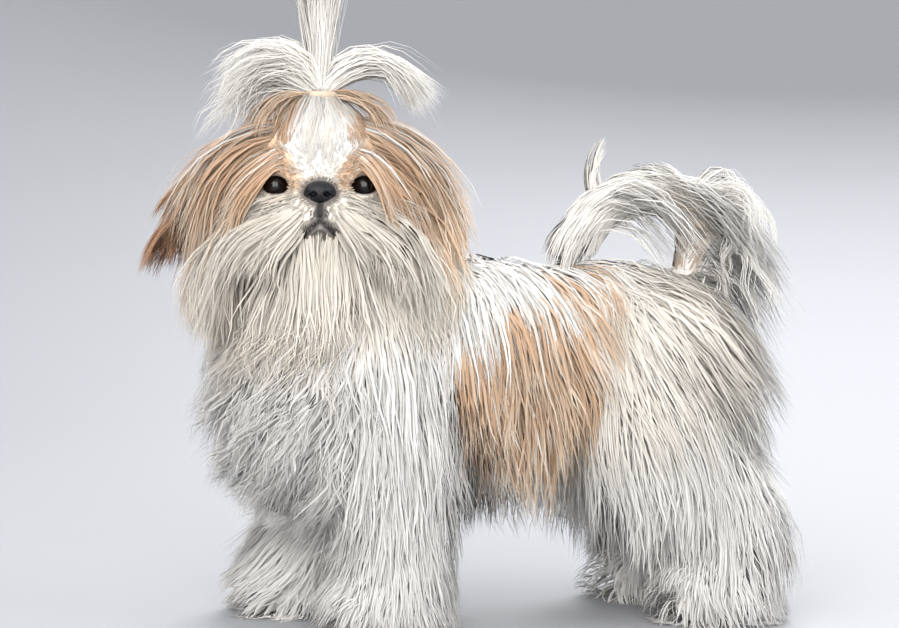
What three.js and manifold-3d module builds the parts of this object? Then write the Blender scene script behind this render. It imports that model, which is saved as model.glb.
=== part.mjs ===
// A life-size Shih Tzu standing still, its head turned to its left, in millimetres.
// +Z is up, the floor is z = 0, the dog faces -X and its left side faces -Y.
import * as THREE from 'three';
import { mergeVertices } from 'three/addons/utils/BufferGeometryUtils.js';
import Module from 'manifold-3d';

const wasm = await Module();
wasm.setup();

// Driving sizes
const WITHERS = 233;
const TRUNK_LENGTH = 300;
const CHEST_DEPTH = 122;
const CHEST_FLATNESS = 0.86;
const HEAD_TURN = 81.3;
const NOSE_HEIGHT = 281;
const EYE_R = 9.5;
const EYE_SPREAD = 28;
const GAP = 0.3;
const SEAM = 1e-3;
const BLEND = 5;

// Landmarks worked out from them
const CHEST_R = CHEST_DEPTH / 2;
const LOIN_R = CHEST_R * 0.8;
const SPINE_Z = WITHERS - CHEST_R;
const BREAST_X = -0.46 * TRUNK_LENGTH;
const RUMP_X = BREAST_X + TRUNK_LENGTH;
const HIP_X = RUMP_X - 42;
const SKULL_Z = NOSE_HEIGHT + 11;

const point = (x, y, z) => new THREE.Vector3(x, y, z);
const mix = (a, b, t) => a + (b - a) * t;
const clamp = (v, low = 0, high = 1) => Math.min(high, Math.max(low, v));
const smooth = (low, high, v) => {
  const t = clamp((v - low) / (high - low));
  return t * t * (3 - 2 * t);
};
const radians = THREE.MathUtils.degToRad;
const toward = (a, b) => b.clone().sub(a).normalize();
const blendWays = (a, b, t) => a.clone().lerp(b, t).normalize();
const times = (count, make) => Array.from({ length: count }, (_, i) => make((i + 0.5) / count, i));

// Every random draw comes from one seeded run
let seed = 24;
function random() {
  seed = (seed + 0x6d2b79f5) | 0;
  let v = Math.imul(seed ^ (seed >>> 15), 1 | seed);
  v = (v + Math.imul(v ^ (v >>> 7), 61 | v)) ^ v;
  return ((v ^ (v >>> 14)) >>> 0) / 4294967296;
}
const jitter = (size) => size * (2 * random() - 1);
const vary = (value, share) => value * (1 + jitter(share));

const UP = point(0, 0, 1);
const BACK = point(1, 0, 0);
const LEFT = -1;
const RIGHT = 1;
const SIDES = [LEFT, RIGHT];

// Head frame: its origin is under the nose's tip, f runs forward out of the face, l to the dog's left
const NOSE_TIP = point(-116.5, -65, NOSE_HEIGHT);
const turn = radians(HEAD_TURN);
const FACING = point(-Math.cos(turn), -Math.sin(turn), 0);
const FACE_LEFT = point(Math.sin(turn), -Math.cos(turn), 0);
const onHead = (l, f, z) =>
  NOSE_TIP.clone().addScaledVector(FACE_LEFT, l).addScaledVector(FACING, f).setZ(z);
const headWay = (l, f, z) =>
  point(0, 0, z).addScaledVector(FACE_LEFT, l).addScaledVector(FACING, f).normalize();

// A bone is a rounded cone of flesh from one point to another, narrowed across the body by `flat`
const bone = (from, to, r0, r1 = r0, flat = 1) => ({ from, to, r0, r1, flat });

const trunkBones = [
  bone(point(BREAST_X + 52, 0, SPINE_Z), point(0, 0, SPINE_Z + 2), CHEST_R - 3, CHEST_R - 4, CHEST_FLATNESS),
  bone(point(0, 0, SPINE_Z + 2), point(HIP_X - 30, 0, SPINE_Z + 8), CHEST_R - 5, LOIN_R, 0.9),
  bone(point(HIP_X - 30, 0, SPINE_Z + 8), point(HIP_X, 0, SPINE_Z + 6), LOIN_R, LOIN_R - 4, 0.95),
  bone(point(BREAST_X + 34, 0, SPINE_Z - 12), point(BREAST_X + 44, 0, SPINE_Z - 14), 38, 40),
];

const NECK_ROOT = point(BREAST_X + 58, 0, SPINE_Z + 30);
const NECK_TOP = onHead(0, -72, SKULL_Z - 26);
const neckBones = [bone(NECK_ROOT, NECK_TOP, 40, 33)];

const foreleg = (side, pawX) => [
  bone(point(BREAST_X + 62, side * 33, SPINE_Z - 2), point(BREAST_X + 72, side * 39, 112), 33, 25),
  bone(point(BREAST_X + 72, side * 39, 112), point(pawX + 8, side * 41, 44), 24, 15),
  bone(point(pawX + 8, side * 41, 44), point(pawX + 2, side * 41, 16), 15, 17),
  bone(point(pawX + 2, side * 41, 15), point(pawX - 8, side * 42, 13), 17, 15),
];
const hindleg = (side, pawX) => [
  bone(point(HIP_X - 6, side * 30, SPINE_Z + 2), point(pawX - 36, side * 42, 120), 42, 31),
  bone(point(pawX - 36, side * 42, 120), point(pawX + 14, side * 46, 64), 30, 17),
  bone(point(pawX + 14, side * 46, 64), point(pawX + 6, side * 47, 18), 16, 16),
  bone(point(pawX + 6, side * 47, 16), point(pawX - 10, side * 48, 13), 17, 15),
];
const legs = {
  front_leg_left: { bones: foreleg(LEFT, -72), side: LEFT },
  front_leg_right: { bones: foreleg(RIGHT, -118), side: RIGHT },
  rear_leg_left: { bones: hindleg(LEFT, 146), side: LEFT },
  rear_leg_right: { bones: hindleg(RIGHT, 132), side: RIGHT },
};
const legBones = Object.values(legs).flatMap((l) => l.bones);
const shoulderBones = Object.values(legs).map((l) => l.bones[0]);
const bodyBones = [...trunkBones, ...shoulderBones];

const skullBones = [
  bone(onHead(0, -62, SKULL_Z), onHead(0, -60, SKULL_Z), 43.5),
  bone(onHead(0, -48, SKULL_Z + 5), onHead(0, -48, SKULL_Z + 5), 32),
  bone(onHead(0, -44, NOSE_HEIGHT - 9), onHead(0, -20, NOSE_HEIGHT - 11), 26, 14),
  bone(onHead(-11, -30, NOSE_HEIGHT - 15), onHead(-9, -18, NOSE_HEIGHT - 15), 15, 10.5),
  bone(onHead(11, -30, NOSE_HEIGHT - 15), onHead(9, -18, NOSE_HEIGHT - 15), 15, 10.5),
  bone(onHead(0, -48, NOSE_HEIGHT - 24), onHead(0, -22, NOSE_HEIGHT - 26), 20, 10),
  bone(onHead(-24, -43, NOSE_HEIGHT + 4), onHead(-34, -51, NOSE_HEIGHT + 3), 12),
  bone(onHead(24, -43, NOSE_HEIGHT + 4), onHead(34, -51, NOSE_HEIGHT + 3), 12),
];
const allBones = [...trunkBones, ...neckBones, ...legBones, ...skullBones];

// The signed distance of a point from one bone
function fromBone(b, x, y, z) {
  const ax = b.from.x;
  const ay = b.from.y;
  const az = b.from.z;
  const dx = b.to.x - ax;
  const dy = (b.to.y - ay) / b.flat;
  const dz = b.to.z - az;
  const px = x - ax;
  const py = (y - ay) / b.flat;
  const pz = z - az;
  const span = dx * dx + dy * dy + dz * dz;
  const t = span > 0 ? clamp((px * dx + py * dy + pz * dz) / span) : 0;
  return Math.hypot(px - t * dx, py - t * dy, pz - t * dz) - mix(b.r0, b.r1, t);
}

// The signed distance from several bones, blended softly where they meet
function fromSkin(bones, p) {
  let sum = 0;
  for (const b of bones) sum += Math.exp(-fromBone(b, p.x, p.y, p.z) / BLEND);
  return -BLEND * Math.log(sum);
}

// The way straight out of the flesh at a point
function outOf(bones, p) {
  const here = fromSkin(bones, p);
  const rise = (dx, dy, dz) => fromSkin(bones, point(p.x + dx, p.y + dy, p.z + dz)) - here;
  return point(rise(1, 0, 0), rise(0, 1, 0), rise(0, 0, 1)).normalize();
}

// A geometry with its seams closed, so that it can be reshaped and stay one surface
function seamless(geometry) {
  geometry.deleteAttribute('normal');
  geometry.deleteAttribute('uv');
  return mergeVertices(geometry, SEAM);
}

// Joins and cuts
function solid(merged) {
  const index = merged.index.array;
  const kept = [];
  for (let i = 0; i < index.length; i += 3) {
    const [a, b, c] = index.slice(i, i + 3);
    if (a !== b && b !== c && a !== c) kept.push(a, b, c);
  }
  return new wasm.Manifold(
    new wasm.Mesh({
      numProp: 3,
      vertProperties: merged.attributes.position.array,
      triVerts: new Uint32Array(kept),
    }),
  );
}
const join = (solids) => wasm.Manifold.union(solids);

function geometryOf(made) {
  const { numProp, numVert, vertProperties, triVerts } = made.getMesh();
  const positions = new Float32Array(numVert * 3);
  for (let i = 0; i < numVert; i++) {
    positions.set(vertProperties.subarray(i * numProp, i * numProp + 3), i * 3);
  }
  const geometry = new THREE.BufferGeometry();
  geometry.setAttribute('position', new THREE.BufferAttribute(positions, 3));
  geometry.setIndex(new THREE.BufferAttribute(triVerts, 1));
  return geometry;
}

// Moves every vertex of a geometry by a function of its place
function reshape(geometry, place) {
  const at = geometry.attributes.position;
  const v = point(0, 0, 0);
  for (let i = 0; i < at.count; i++) {
    const moved = place(v.fromBufferAttribute(at, i));
    at.setXYZ(i, moved.x, moved.y, moved.z);
  }
  return geometry;
}

// Slides out from a point inside the flesh until the surface lies `coat` under it
const STRIDE = 3;
const FARTHEST = 160;
function slideOut(bones, origin, way, coat) {
  const p = point(0, 0, 0);
  const over = (r) => fromSkin(bones, p.copy(origin).addScaledVector(way, r)) - coat(p, way);
  let far = 0;
  while (over(far) < 0 && far < FARTHEST) far += STRIDE;
  let near = Math.max(0, far - STRIDE);
  for (let i = 0; i < 12; i++) {
    const middle = (near + far) / 2;
    if (over(middle) < 0) near = middle;
    else far = middle;
  }
  return origin.clone().addScaledVector(way, far);
}

// A closed form round a spine: the vertices of a capsule slid out to `coat` above the skin
function wrap(bones, spine, axis, coat, { around, along, caps = 2 }, grow = 0) {
  const curve = new THREE.CatmullRomCurve3(spine);
  const across = Math.abs(axis.y) > 0.9 ? point(1, 0, 0) : point(0, 1, 0);
  const u = across.clone().addScaledVector(axis, -across.dot(axis)).normalize();
  const w = u.clone().cross(axis).normalize();
  const capsule = seamless(new THREE.CapsuleGeometry(1, along, caps, around, along));
  return solid(
    reshape(capsule, (v) => {
      const s = clamp(v.y, -along / 2, along / 2);
      const origin = curve.getPoint(s / along + 0.5);
      const way = point(0, 0, 0)
        .addScaledVector(u, v.x)
        .addScaledVector(axis, v.y - s)
        .addScaledVector(w, v.z)
        .normalize();
      return slideOut(bones, origin, way, (p, d) => coat(p, d) + grow);
    }),
  );
}

// Locks of hair. A lock is rooted under `root`, leaves by `way`, turns to `lie`, and keeps `height`
// above the flesh on its way.
const SINK = 7;
function course({ root, out, way, lie, long, height, turnBy = 1, steps = 3 }) {
  const start = root.clone().addScaledVector(out ?? outOf(allBones, root), -SINK);
  const path = [start];
  const step = (long + SINK) / steps;
  for (let i = 1; i <= steps; i++) {
    const t = i / steps;
    const heading = blendWays(way, lie, smooth(0, 1, t * turnBy));
    const p = path[i - 1].clone().addScaledVector(heading, step);
    const under = mix(height[0], height[1], t) - fromSkin(allBones, p);
    if (under > 0) p.addScaledVector(outOf(allBones, p), under);
    path.push(p);
  }
  return path;
}

// A flat, tapered lock: a cone of three sides laid along its course, flat to the flesh below its middle
function lockSolid(path, { wide, thick }, grow) {
  const curve = new THREE.CatmullRomCurve3(path);
  const breadth = curve.getTangent(0.5).cross(outOf(allBones, curve.getPoint(0.5)));
  return solid(
    reshape(seamless(new THREE.ConeGeometry(1, 1, 3, path.length - 1)), (v) => {
      const t = clamp(v.y + 0.5);
      const ahead = curve.getTangent(t);
      const p = curve.getPoint(t);
      if (t > 0.999) return p.addScaledVector(ahead, 3 * grow);
      const side = breadth.clone().addScaledVector(ahead, -breadth.dot(ahead)).normalize();
      const up = side.clone().cross(ahead);
      const full = (1 - t ** 2.5) * mix(0.75, 1, smooth(0, 0.35, t));
      return p
        .addScaledVector(side, (v.x / (1 - t)) * (wide * full + grow * (wide / thick + 2)))
        .addScaledVector(up, (v.z / (1 - t)) * (thick * full + 2 * grow));
    }),
  );
}

// The locks of one node, each with its course worked out once
const planted = (specs) => specs.map((spec) => ({ ...spec, path: course(spec) }));
const grown = (locks, grow) => locks.map((l) => lockSolid(l.path, l, grow));
const rootOn = (bones, origin, way, depth) => slideOut(bones, origin, way.clone().normalize(), () => depth);

// Trunk: a core to half the coat's depth, and tiers of locks down from the parting on the back
const trunkDepth = (way) => {
  const low = smooth(0.6, -0.7, way.z);
  const end = smooth(0.35, 0.95, Math.abs(way.x));
  const front = smooth(-0.35, -0.95, way.x);
  return mix(mix(12, 32, low), 30, end) + 8 * front;
};
const CORE = 0.45;
const trunkCore = (p, way) => CORE * trunkDepth(way);
const TRUNK_SPINE = [
  point(BREAST_X + 40, 0, SPINE_Z - 4),
  point(0, 0, SPINE_Z),
  point(HIP_X, 0, SPINE_Z + 4),
];
const TRUNK_TIERS = [
  { angle: 18, long: 68, count: 6, wide: 21 },
  { angle: 50, long: 80, count: 6, wide: 21 },
  { angle: 82, long: 78, count: 7, wide: 19 },
  { angle: 116, long: 68, count: 6, wide: 20 },
];
const trunkTier = ({ angle, long, count, wide }) =>
  SIDES.flatMap((side) =>
    times(count, (along) => {
      const a = radians(angle + jitter(4));
      const out = point(0, side * Math.sin(a), Math.cos(a));
      const origin = point(mix(BREAST_X + 34, HIP_X + 22, along + jitter(0.02)), 0, SPINE_Z);
      const depth = trunkDepth(out);
      return {
        root: rootOn(bodyBones, origin, out, CORE * depth),
        way: point(0.35, side, mix(0.3, -0.8, angle / 116)).normalize(),
        lie: point(0.2 + jitter(0.12), side * 0.12, -1).normalize(),
        long: vary(long, 0.12),
        wide: vary(wide, 0.15),
        thick: vary(2.3, 0.15),
        height: [CORE * depth, depth + 3],
        turnBy: 1.6,
      };
    }),
  );

// Fans of locks over the breast in front and the rump behind
const FAN_SPREAD = 55;
const endFan = ({ end, origin, heights, count, long, lie }) =>
  heights.flatMap((rise) =>
    times(count, (t) => {
      const a = radians(mix(-FAN_SPREAD, FAN_SPREAD, t) + jitter(4));
      const out = point(end * Math.cos(a), Math.sin(a), rise).normalize();
      const depth = trunkDepth(out);
      return {
        root: rootOn(bodyBones, origin, out, CORE * depth),
        way: out.clone().add(point(0, 0, -0.5)).normalize(),
        lie: point(lie.x + jitter(0.1), 0.25 * Math.sin(a) + jitter(0.12), lie.z).normalize(),
        long: vary(long, 0.12),
        wide: vary(16, 0.15),
        thick: vary(2.4, 0.15),
        height: [CORE * depth, depth + 2],
        turnBy: 1.5,
      };
    }),
  );
const torsoLocks = () =>
  planted([
    ...TRUNK_TIERS.flatMap(trunkTier),
    ...endFan({ end: -1, origin: TRUNK_SPINE[0], heights: [0.25, -0.45], count: 4, long: 78, lie: point(-0.3, 0, -1) }),
    ...endFan({ end: 1, origin: TRUNK_SPINE[2], heights: [0.4, -0.3], count: 4, long: 72, lie: point(0.1, 0, -1) }),
  ]);
const trunk = (grow) =>
  wrap(bodyBones, TRUNK_SPINE, BACK, trunkCore, { around: 14, along: 9 }, grow);

// Neck: its coat falls from the nape over the withers, and in a ruff under the head
const NECK_DEPTH = 34;
const neckAxis = toward(NECK_ROOT, NECK_TOP);
const NECK_ROWS = [
  { rise: 0.1, count: 7 },
  { rise: 0.7, count: 5 },
];
const neckLocks = () =>
  planted(
    NECK_ROWS.flatMap(({ rise, count }, row) =>
      times(count, (t) => {
        const a = 2 * Math.PI * (t + 0.05 * row) + jitter(0.1);
        const out = point(Math.cos(a), Math.sin(a), 0.15).normalize();
        const origin = NECK_ROOT.clone().lerp(NECK_TOP, rise);
        return {
          root: rootOn(neckBones, origin, out, CORE * NECK_DEPTH),
          way: out.clone().add(point(0, 0, -0.4)).normalize(),
          lie: point(0.3 * Math.cos(a) + 0.1, 0.3 * Math.sin(a), -1).normalize(),
          long: vary(74, 0.12),
          wide: vary(17, 0.15),
          thick: vary(2.4, 0.15),
          height: [CORE * NECK_DEPTH, mix(NECK_DEPTH, 16, smooth(-0.2, 0.9, Math.cos(a)))],
          turnBy: 1.6,
        };
      }),
    ),
  );
const neck = (grow) =>
  wrap(neckBones, [NECK_ROOT, NECK_TOP], neckAxis, () => CORE * NECK_DEPTH, { around: 12, along: 3 }, grow);

// Legs: bells of locks that widen to the floor
const legDepth = (z) => mix(30, 20, smooth(20, 110, z));
const LEG_TIERS = [
  { at: 96, count: 4, long: 66 },
  { at: 64, count: 5, long: 58 },
  { at: 36, count: 5, long: 36 },
];
function legLocks({ bones }) {
  const spine = new THREE.CatmullRomCurve3([bones[1].from, bones[1].to, bones[2].to]);
  return planted(
    LEG_TIERS.flatMap(({ at, count, long }, row) =>
      times(count, (t) => {
        const a = 2 * Math.PI * (t + 0.4 * row) + jitter(0.12);
        const out = point(Math.cos(a), Math.sin(a), 0);
        const origin = spine.getPoint(clamp((bones[1].from.z - at) / (bones[1].from.z - bones[2].to.z)));
        const depth = legDepth(at);
        return {
          root: rootOn(bones, origin, out, CORE * depth),
          way: out.clone().add(point(0, 0, -0.7)).normalize(),
          lie: out.clone().multiplyScalar(0.3).add(point(jitter(0.1), jitter(0.1), -1)).normalize(),
          long: vary(long, 0.08),
          wide: vary(16, 0.15),
          thick: vary(2.4, 0.15),
          height: [CORE * depth, legDepth(at - long) - 3],
          turnBy: 1.8,
        };
      }),
    ),
  );
}
const leg = ({ bones }, grow) =>
  wrap(bones.slice(1), [bones[2].to, bones[1].to, bones[1].from], UP,
    (p) => CORE * legDepth(p.z), { around: 10, along: 7 }, grow);

// Head
const headDepth = (p, way) => 2 + 8 * smooth(0.5, -0.5, way.dot(FACING));
const HEAD_CENTRE = onHead(0, -56, SKULL_Z - 6);
const onFace = (l, z, coat) => slideOut(skullBones, onHead(l * 0.7, -50, z), FACING, () => coat);
const sideOfHead = (l, f, z) => {
  const at = onHead(l, f, z);
  return rootOn(skullBones, HEAD_CENTRE, toward(HEAD_CENTRE, at), 2);
};
// Rows of locks on each side of the face, from the first to the last place given as (l, f, z)
const FACE_ROWS = [
  { name: 'moustache', from: [10, 0, -12], to: [24, -14, -20], count: 3, way: [1, 0.25, -0.1], lie: [0.45, 0, -1], long: 62, wide: 9.5 },
  { name: 'under the eye', from: [30, -14, -4], to: [38, -30, -14], count: 2, way: [1, 0.1, -0.3], lie: [0.5, -0.1, -1], long: 84, wide: 11 },
  { name: 'brow', from: [16, -18, 22], to: [34, -30, 16], count: 3, way: [1, 0.3, 0.15], lie: [0.6, -0.3, -1], long: 92, wide: 9 },
  { name: 'crown', from: [10, -22, 34], to: [34, -52, 40], count: 2, way: [0, 0, 1], lie: [-0.45, -0.5, 0.5], long: 22, wide: 8 },
  { name: 'cheek', from: [34, -34, -24], to: [44, -60, -10], count: 3, way: [0.8, 0.1, -0.7], lie: [0.2, 0, -1], long: 76, wide: 13 },
];
const faceRow = ({ from, to, count, way, lie, long, wide }) =>
  SIDES.flatMap((side) =>
    times(count, (t) => ({
      root: sideOfHead(-side * mix(from[0], to[0], t), mix(from[1], to[1], t), NOSE_HEIGHT + mix(from[2], to[2], t)),
      way: headWay(-side * way[0], way[1], way[2] + jitter(0.1)),
      lie: headWay(-side * lie[0], lie[1] + jitter(0.1), lie[2]),
      long: vary(long, 0.1),
      wide: vary(wide, 0.12),
      thick: vary(2.6, 0.12),
      height: [3, long > 50 ? 13 : 4],
      turnBy: 1.3,
      steps: long > 80 ? 4 : 3,
    })),
  );
const beardLocks = () =>
  times(6, (t, i) => {
    const l = mix(-26, 26, t);
    return {
      root: sideOfHead(l, i % 2 ? -20 : -34, NOSE_HEIGHT - 36),
      way: headWay(l * 0.02, i % 2 ? 0.5 : 0.2, -0.8),
      lie: headWay(l * 0.012, 0, -1),
      long: vary(68, 0.1),
      wide: vary(11, 0.12),
      thick: vary(3, 0.12),
      height: [3, 12],
    };
  });
const napeLocks = () =>
  times(5, (t) => {
    const a = radians(mix(-55, 55, t));
    return {
      root: sideOfHead(44 * Math.sin(a), -62 - 44 * Math.cos(a), SKULL_Z + 6),
      way: headWay(Math.sin(a), -Math.cos(a), -0.3),
      lie: headWay(0.2 * Math.sin(a), -0.2 * Math.cos(a), -1),
      long: vary(66, 0.1),
      wide: vary(14, 0.12),
      thick: vary(3.2, 0.12),
      height: [8, 14],
    };
  });
const headLocks = () => planted([...FACE_ROWS.flatMap(faceRow), ...beardLocks(), ...napeLocks()]);

// A cord of flesh along a few points, for lids and lips
function roll(points, radius, steps = 4) {
  const ring = new THREE.Shape().absarc(0, 0, radius, 0, 2 * Math.PI);
  return solid(
    seamless(
      new THREE.ExtrudeGeometry(ring, {
        steps,
        curveSegments: 2,
        bevelEnabled: false,
        extrudePath: new THREE.CatmullRomCurve3(points),
      }),
    ),
  );
}
const eyeAt = (side) => onHead(-side * EYE_SPREAD, -27, NOSE_HEIGHT + 4);
// One lid, an arc over the ball from corner to corner
const LID_HALF_WIDTH = 8.6;
const LID_RISE = 6.6;
const lid = (side, upper, grow) =>
  roll(
    times(7, (t) => {
      const a = Math.PI * mix(-0.07, 1.07, t);
      const l = LID_HALF_WIDTH * Math.cos(a);
      const z = upper * LID_RISE * Math.sin(a);
      const f = Math.sqrt(Math.max(4, EYE_R ** 2 - l * l - z * z)) + 0.4;
      return eyeAt(side).add(headWay(1, 0, 0).multiplyScalar(l)).addScaledVector(FACING, f).add(point(0, 0, z));
    }),
    1.7 + grow,
    6,
  );

// The line of the mouth: down from the nose, then out to each corner under the lips
const MOUTH_TOP = NOSE_HEIGHT - 9;
const MOUTH_MIDDLE = NOSE_HEIGHT - 18.5;
const MOUTH_CORNER = NOSE_HEIGHT - 27.5;
const MOUTH_HALF = 12;
const philtrum = (coat) => times(4, (t) => onFace(0, mix(MOUTH_TOP, MOUTH_MIDDLE, t), coat));
const mouthSide = (side, lower, coat) =>
  [0, 0.25, 0.5, 0.75, 1].map((t) =>
    onFace(side * MOUTH_HALF * t, mix(MOUTH_MIDDLE, MOUTH_CORNER, t ** 1.5) - lower, coat));

function head(locks, grow) {
  const skull = wrap(skullBones, [onHead(0, -64, SKULL_Z), onHead(0, -40, SKULL_Z - 12)], FACING.clone(),
    headDepth, { around: 18, along: 3, caps: 4 }, grow);
  const lids = SIDES.flatMap((side) => [lid(side, 1, grow), lid(side, -1, grow)]);
  const lips = SIDES.flatMap((side) => [
    roll(mouthSide(side, -2, 1.2), 2 + grow),
    roll(mouthSide(side, 2.4, 1), 2 + grow),
  ]);
  const whole = join([skull, ...lids, ...lips, ...grown(locks, grow)]);
  if (grow) return whole;
  const line = [roll(philtrum(2.6), 1), ...SIDES.map((side) => roll(mouthSide(side, 0, 2.6), 1.2))];
  return whole.subtract(join(line));
}

// Nose with a nostril on each side
function noseSolid(grow) {
  const leather = solid(
    reshape(seamless(new THREE.SphereGeometry(1, 12, 9)), (v) => {
      const wide = 9.5 * (1 + 0.25 * v.z) + grow;
      return onHead(v.x * wide, -6.5 - v.y * (7.5 + grow), NOSE_HEIGHT + v.z * (7.5 + grow));
    }),
  );
  if (grow) return leather;
  const nostrils = SIDES.map((side) =>
    roll(
      [[3.6, 2, -1], [4.4, -2.5, -0.5], [7, -2, -2.6], [10.5, -2, -4]].map(([l, f, z]) =>
        onHead(side * l, f, NOSE_HEIGHT + z)),
      1.4,
    ));
  const crease = roll([[1.8, 2], [1.4, -3], [-2, -8]].map(([f, z]) => onHead(0, f, NOSE_HEIGHT + z)), 0.7);
  return leather.subtract(join([...nostrils, crease]));
}

// Ears: a cupped leaf hung from the side of the skull, with locks down its outer face
const EAR_SHAPES = {
  ear_left: { side: LEFT, root: [40, -62, 324], middle: [70, -64, 290], tip: [76, -64, 250] },
  ear_right: { side: RIGHT, root: [40, -62, 324], middle: [76, -62, 294], tip: [94, -60, 264] },
};
const EAR_HALF_WIDTH = 17;
const EAR_CUP = 9;
const EAR_ROWS = [
  { t: 0.15, places: [-0.5, 0.5] },
  { t: 0.45, places: [-0.5, 0.5] },
  { t: 0.8, places: [-0.45, 0.45] },
];
function earFrame({ side, root, middle, tip }) {
  const spine = new THREE.CatmullRomCurve3(
    [root, middle, tip].map(([l, f, z]) => onHead(-side * l, f, z)),
  );
  return (t) => {
    const at = spine.getPoint(t);
    const down = spine.getTangent(t);
    const fore = FACING.clone().addScaledVector(down, -FACING.dot(down)).normalize();
    const out = down.clone().cross(fore).multiplyScalar(side).normalize();
    return { at, down, fore, out };
  };
}
function ear(shape, locks, grow) {
  const frame = earFrame(shape);
  const leaf = solid(
    reshape(seamless(new THREE.SphereGeometry(1, 10, 8)), (v) => {
      const { at, fore, out, down } = frame(clamp(0.5 - 0.5 * v.y));
      const past = v.y > 0 ? -grow : grow;
      const x = shape.side * v.x;
      return at
        .addScaledVector(fore, x * (EAR_HALF_WIDTH + grow))
        .addScaledVector(out, v.z * (3 + 2 * grow) - EAR_CUP * v.x * v.x)
        .addScaledVector(down, past);
    }),
  );
  return join([leaf, ...grown(locks, grow)]);
}
const earLocks = (shape) => {
  const frame = earFrame(shape);
  return planted(
    EAR_ROWS.flatMap(({ t, places }, row) =>
      places.map((across) => {
        const { at, fore, out, down } = frame(t);
        const root = at.clone().addScaledVector(fore, across * EAR_HALF_WIDTH * 0.8).addScaledVector(out, 6 - EAR_CUP * across * across);
        return {
          root,
          out,
          way: down.clone().addScaledVector(out, 0.25),
          lie: down.clone().add(point(0, 0, -0.6)).addScaledVector(fore, 0.25 * across).normalize(),
          long: vary(52, 0.12),
          wide: vary(9, 0.12),
          thick: vary(2.6, 0.12),
          height: [0, 18 + row],
        };
      }),
    ),
  );
};

// Topknot: a band, an upright plume out of it and a fall of hair on each side
const BAND = onHead(0, -50, 343);
const BAND_R = 10;
const bandSolid = (grow) =>
  solid(seamless(new THREE.TorusGeometry(BAND_R, 2.4 + grow, 6, 16)).translate(BAND.x, BAND.y, BAND.z));
const above = (l, f, z) => BAND.clone().add(headWay(1, 0, 0).multiplyScalar(l)).addScaledVector(FACING, f).add(point(0, 0, z));
const plumeBones = [bone(above(0, 0, -3), above(0, 0, 14), 6, 7), bone(above(0, 0, 14), above(0, 0, 56), 7, 5)];
const plumeLocks = () =>
  planted(
    times(6, (t, i) => {
      const a = 2 * Math.PI * t + jitter(0.2);
      const out = headWay(Math.cos(a), Math.sin(a), 0);
      return {
        root: above(0, 0, i % 2 ? 22 : 44).addScaledVector(out, 5),
        out,
        way: out.clone().multiplyScalar(0.15).add(UP).normalize(),
        lie: out.clone().multiplyScalar(i % 2 ? 0.28 : 0.5).add(UP).normalize(),
        long: vary(i % 2 ? 66 : 50, 0.08),
        wide: vary(6, 0.12),
        thick: vary(3.4, 0.12),
        height: [0, 0],
      };
    }),
  );
const plume = (locks, grow) =>
  join([wrap(plumeBones, [above(0, 0, 2), above(0, 0, 50)], UP, () => grow, { around: 8, along: 3 }), ...grown(locks, grow)]);
const FALLS = {
  topknot_fall_left: { side: 1, reach: 38, rise: 34 },
  topknot_fall_right: { side: -1, reach: 34, rise: 32 },
};
const fallBones = ({ side, reach, rise }) => [
  bone(above(side * 8, 0, 6), above(side * 17, 0, rise * 0.75), 4, 7),
  bone(above(side * 17, 0, rise * 0.75), above(side * reach * 0.8, -2, rise), 7, 5),
];
const fallLocks = ({ side, reach, rise }) =>
  planted(
    times(5, (t, i) => ({
      root: above(side * mix(14, reach * 0.7, t), (i % 3 - 1) * 4, rise * mix(0.7, 1, t) + 4),
      out: UP,
      way: headWay(side, (i % 3 - 1) * 0.4, mix(1, 0.2, t)),
      lie: headWay(side * 0.8, (i % 3 - 1) * 0.5, mix(-0.1, -1, t)),
      long: vary(46, 0.12),
      wide: vary(7, 0.12),
      thick: vary(3, 0.12),
      height: [0, 0],
    })),
  );
const fall = (shape, locks, grow) =>
  join([
    wrap(fallBones(shape), [above(shape.side * 11, 0, 10), above(shape.side * shape.reach * 0.7, -1, shape.rise)],
      headWay(shape.side, 0, 0), () => grow, { around: 8, along: 2 }),
    ...grown(locks, grow),
  ]);

// Tail: up from the dock and forward over the back, in two lengths, with its plume
const tailCurve = new THREE.CatmullRomCurve3([
  point(HIP_X + 20, 0, SPINE_Z + 40),
  point(HIP_X + 30, -4, SPINE_Z + 80),
  point(HIP_X + 8, -8, SPINE_Z + 106),
  point(HIP_X - 28, -12, SPINE_Z + 106),
  point(HIP_X - 60, -14, SPINE_Z + 84),
]);
const TAILS = {
  tail_base: { from: 0, to: 0.44, locks: 9, long: 88, lie: point(1, 0, -0.35) },
  tail_plume: { from: 0.45, to: 1, locks: 10, long: 48, lie: point(-0.6, 0, -0.9) },
};
const TAIL_R = 9;
function tailFrame(t) {
  const at = tailCurve.getPoint(t);
  const ahead = tailCurve.getTangent(t);
  const across = point(0, 1, 0).addScaledVector(ahead, -ahead.y).normalize();
  return { at, ahead, across, out: across.clone().cross(ahead) };
}
function tailLocks({ from, to, locks, long, lie }) {
  return planted(
    times(locks, (t, i) => {
      const s = mix(from, to, t);
      const { at, ahead, across, out } = tailFrame(s);
      const a = ((i % 3) - 1) * 1.15 + jitter(0.2);
      const side = Math.sin(a);
      const way = out.clone().multiplyScalar(-Math.cos(a)).addScaledVector(across, side);
      return {
        root: at.clone().addScaledVector(way, TAIL_R - 1),
        out: way,
        way: blendWays(way, point(lie.x, side, 0), 0.3),
        lie: point(lie.x, lie.y + 0.7 * side, lie.z).normalize(),
        long: vary(long, 0.15),
        wide: vary(10, 0.15),
        thick: vary(3, 0.15),
        height: [0, 0],
      };
    }),
  );
}
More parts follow.
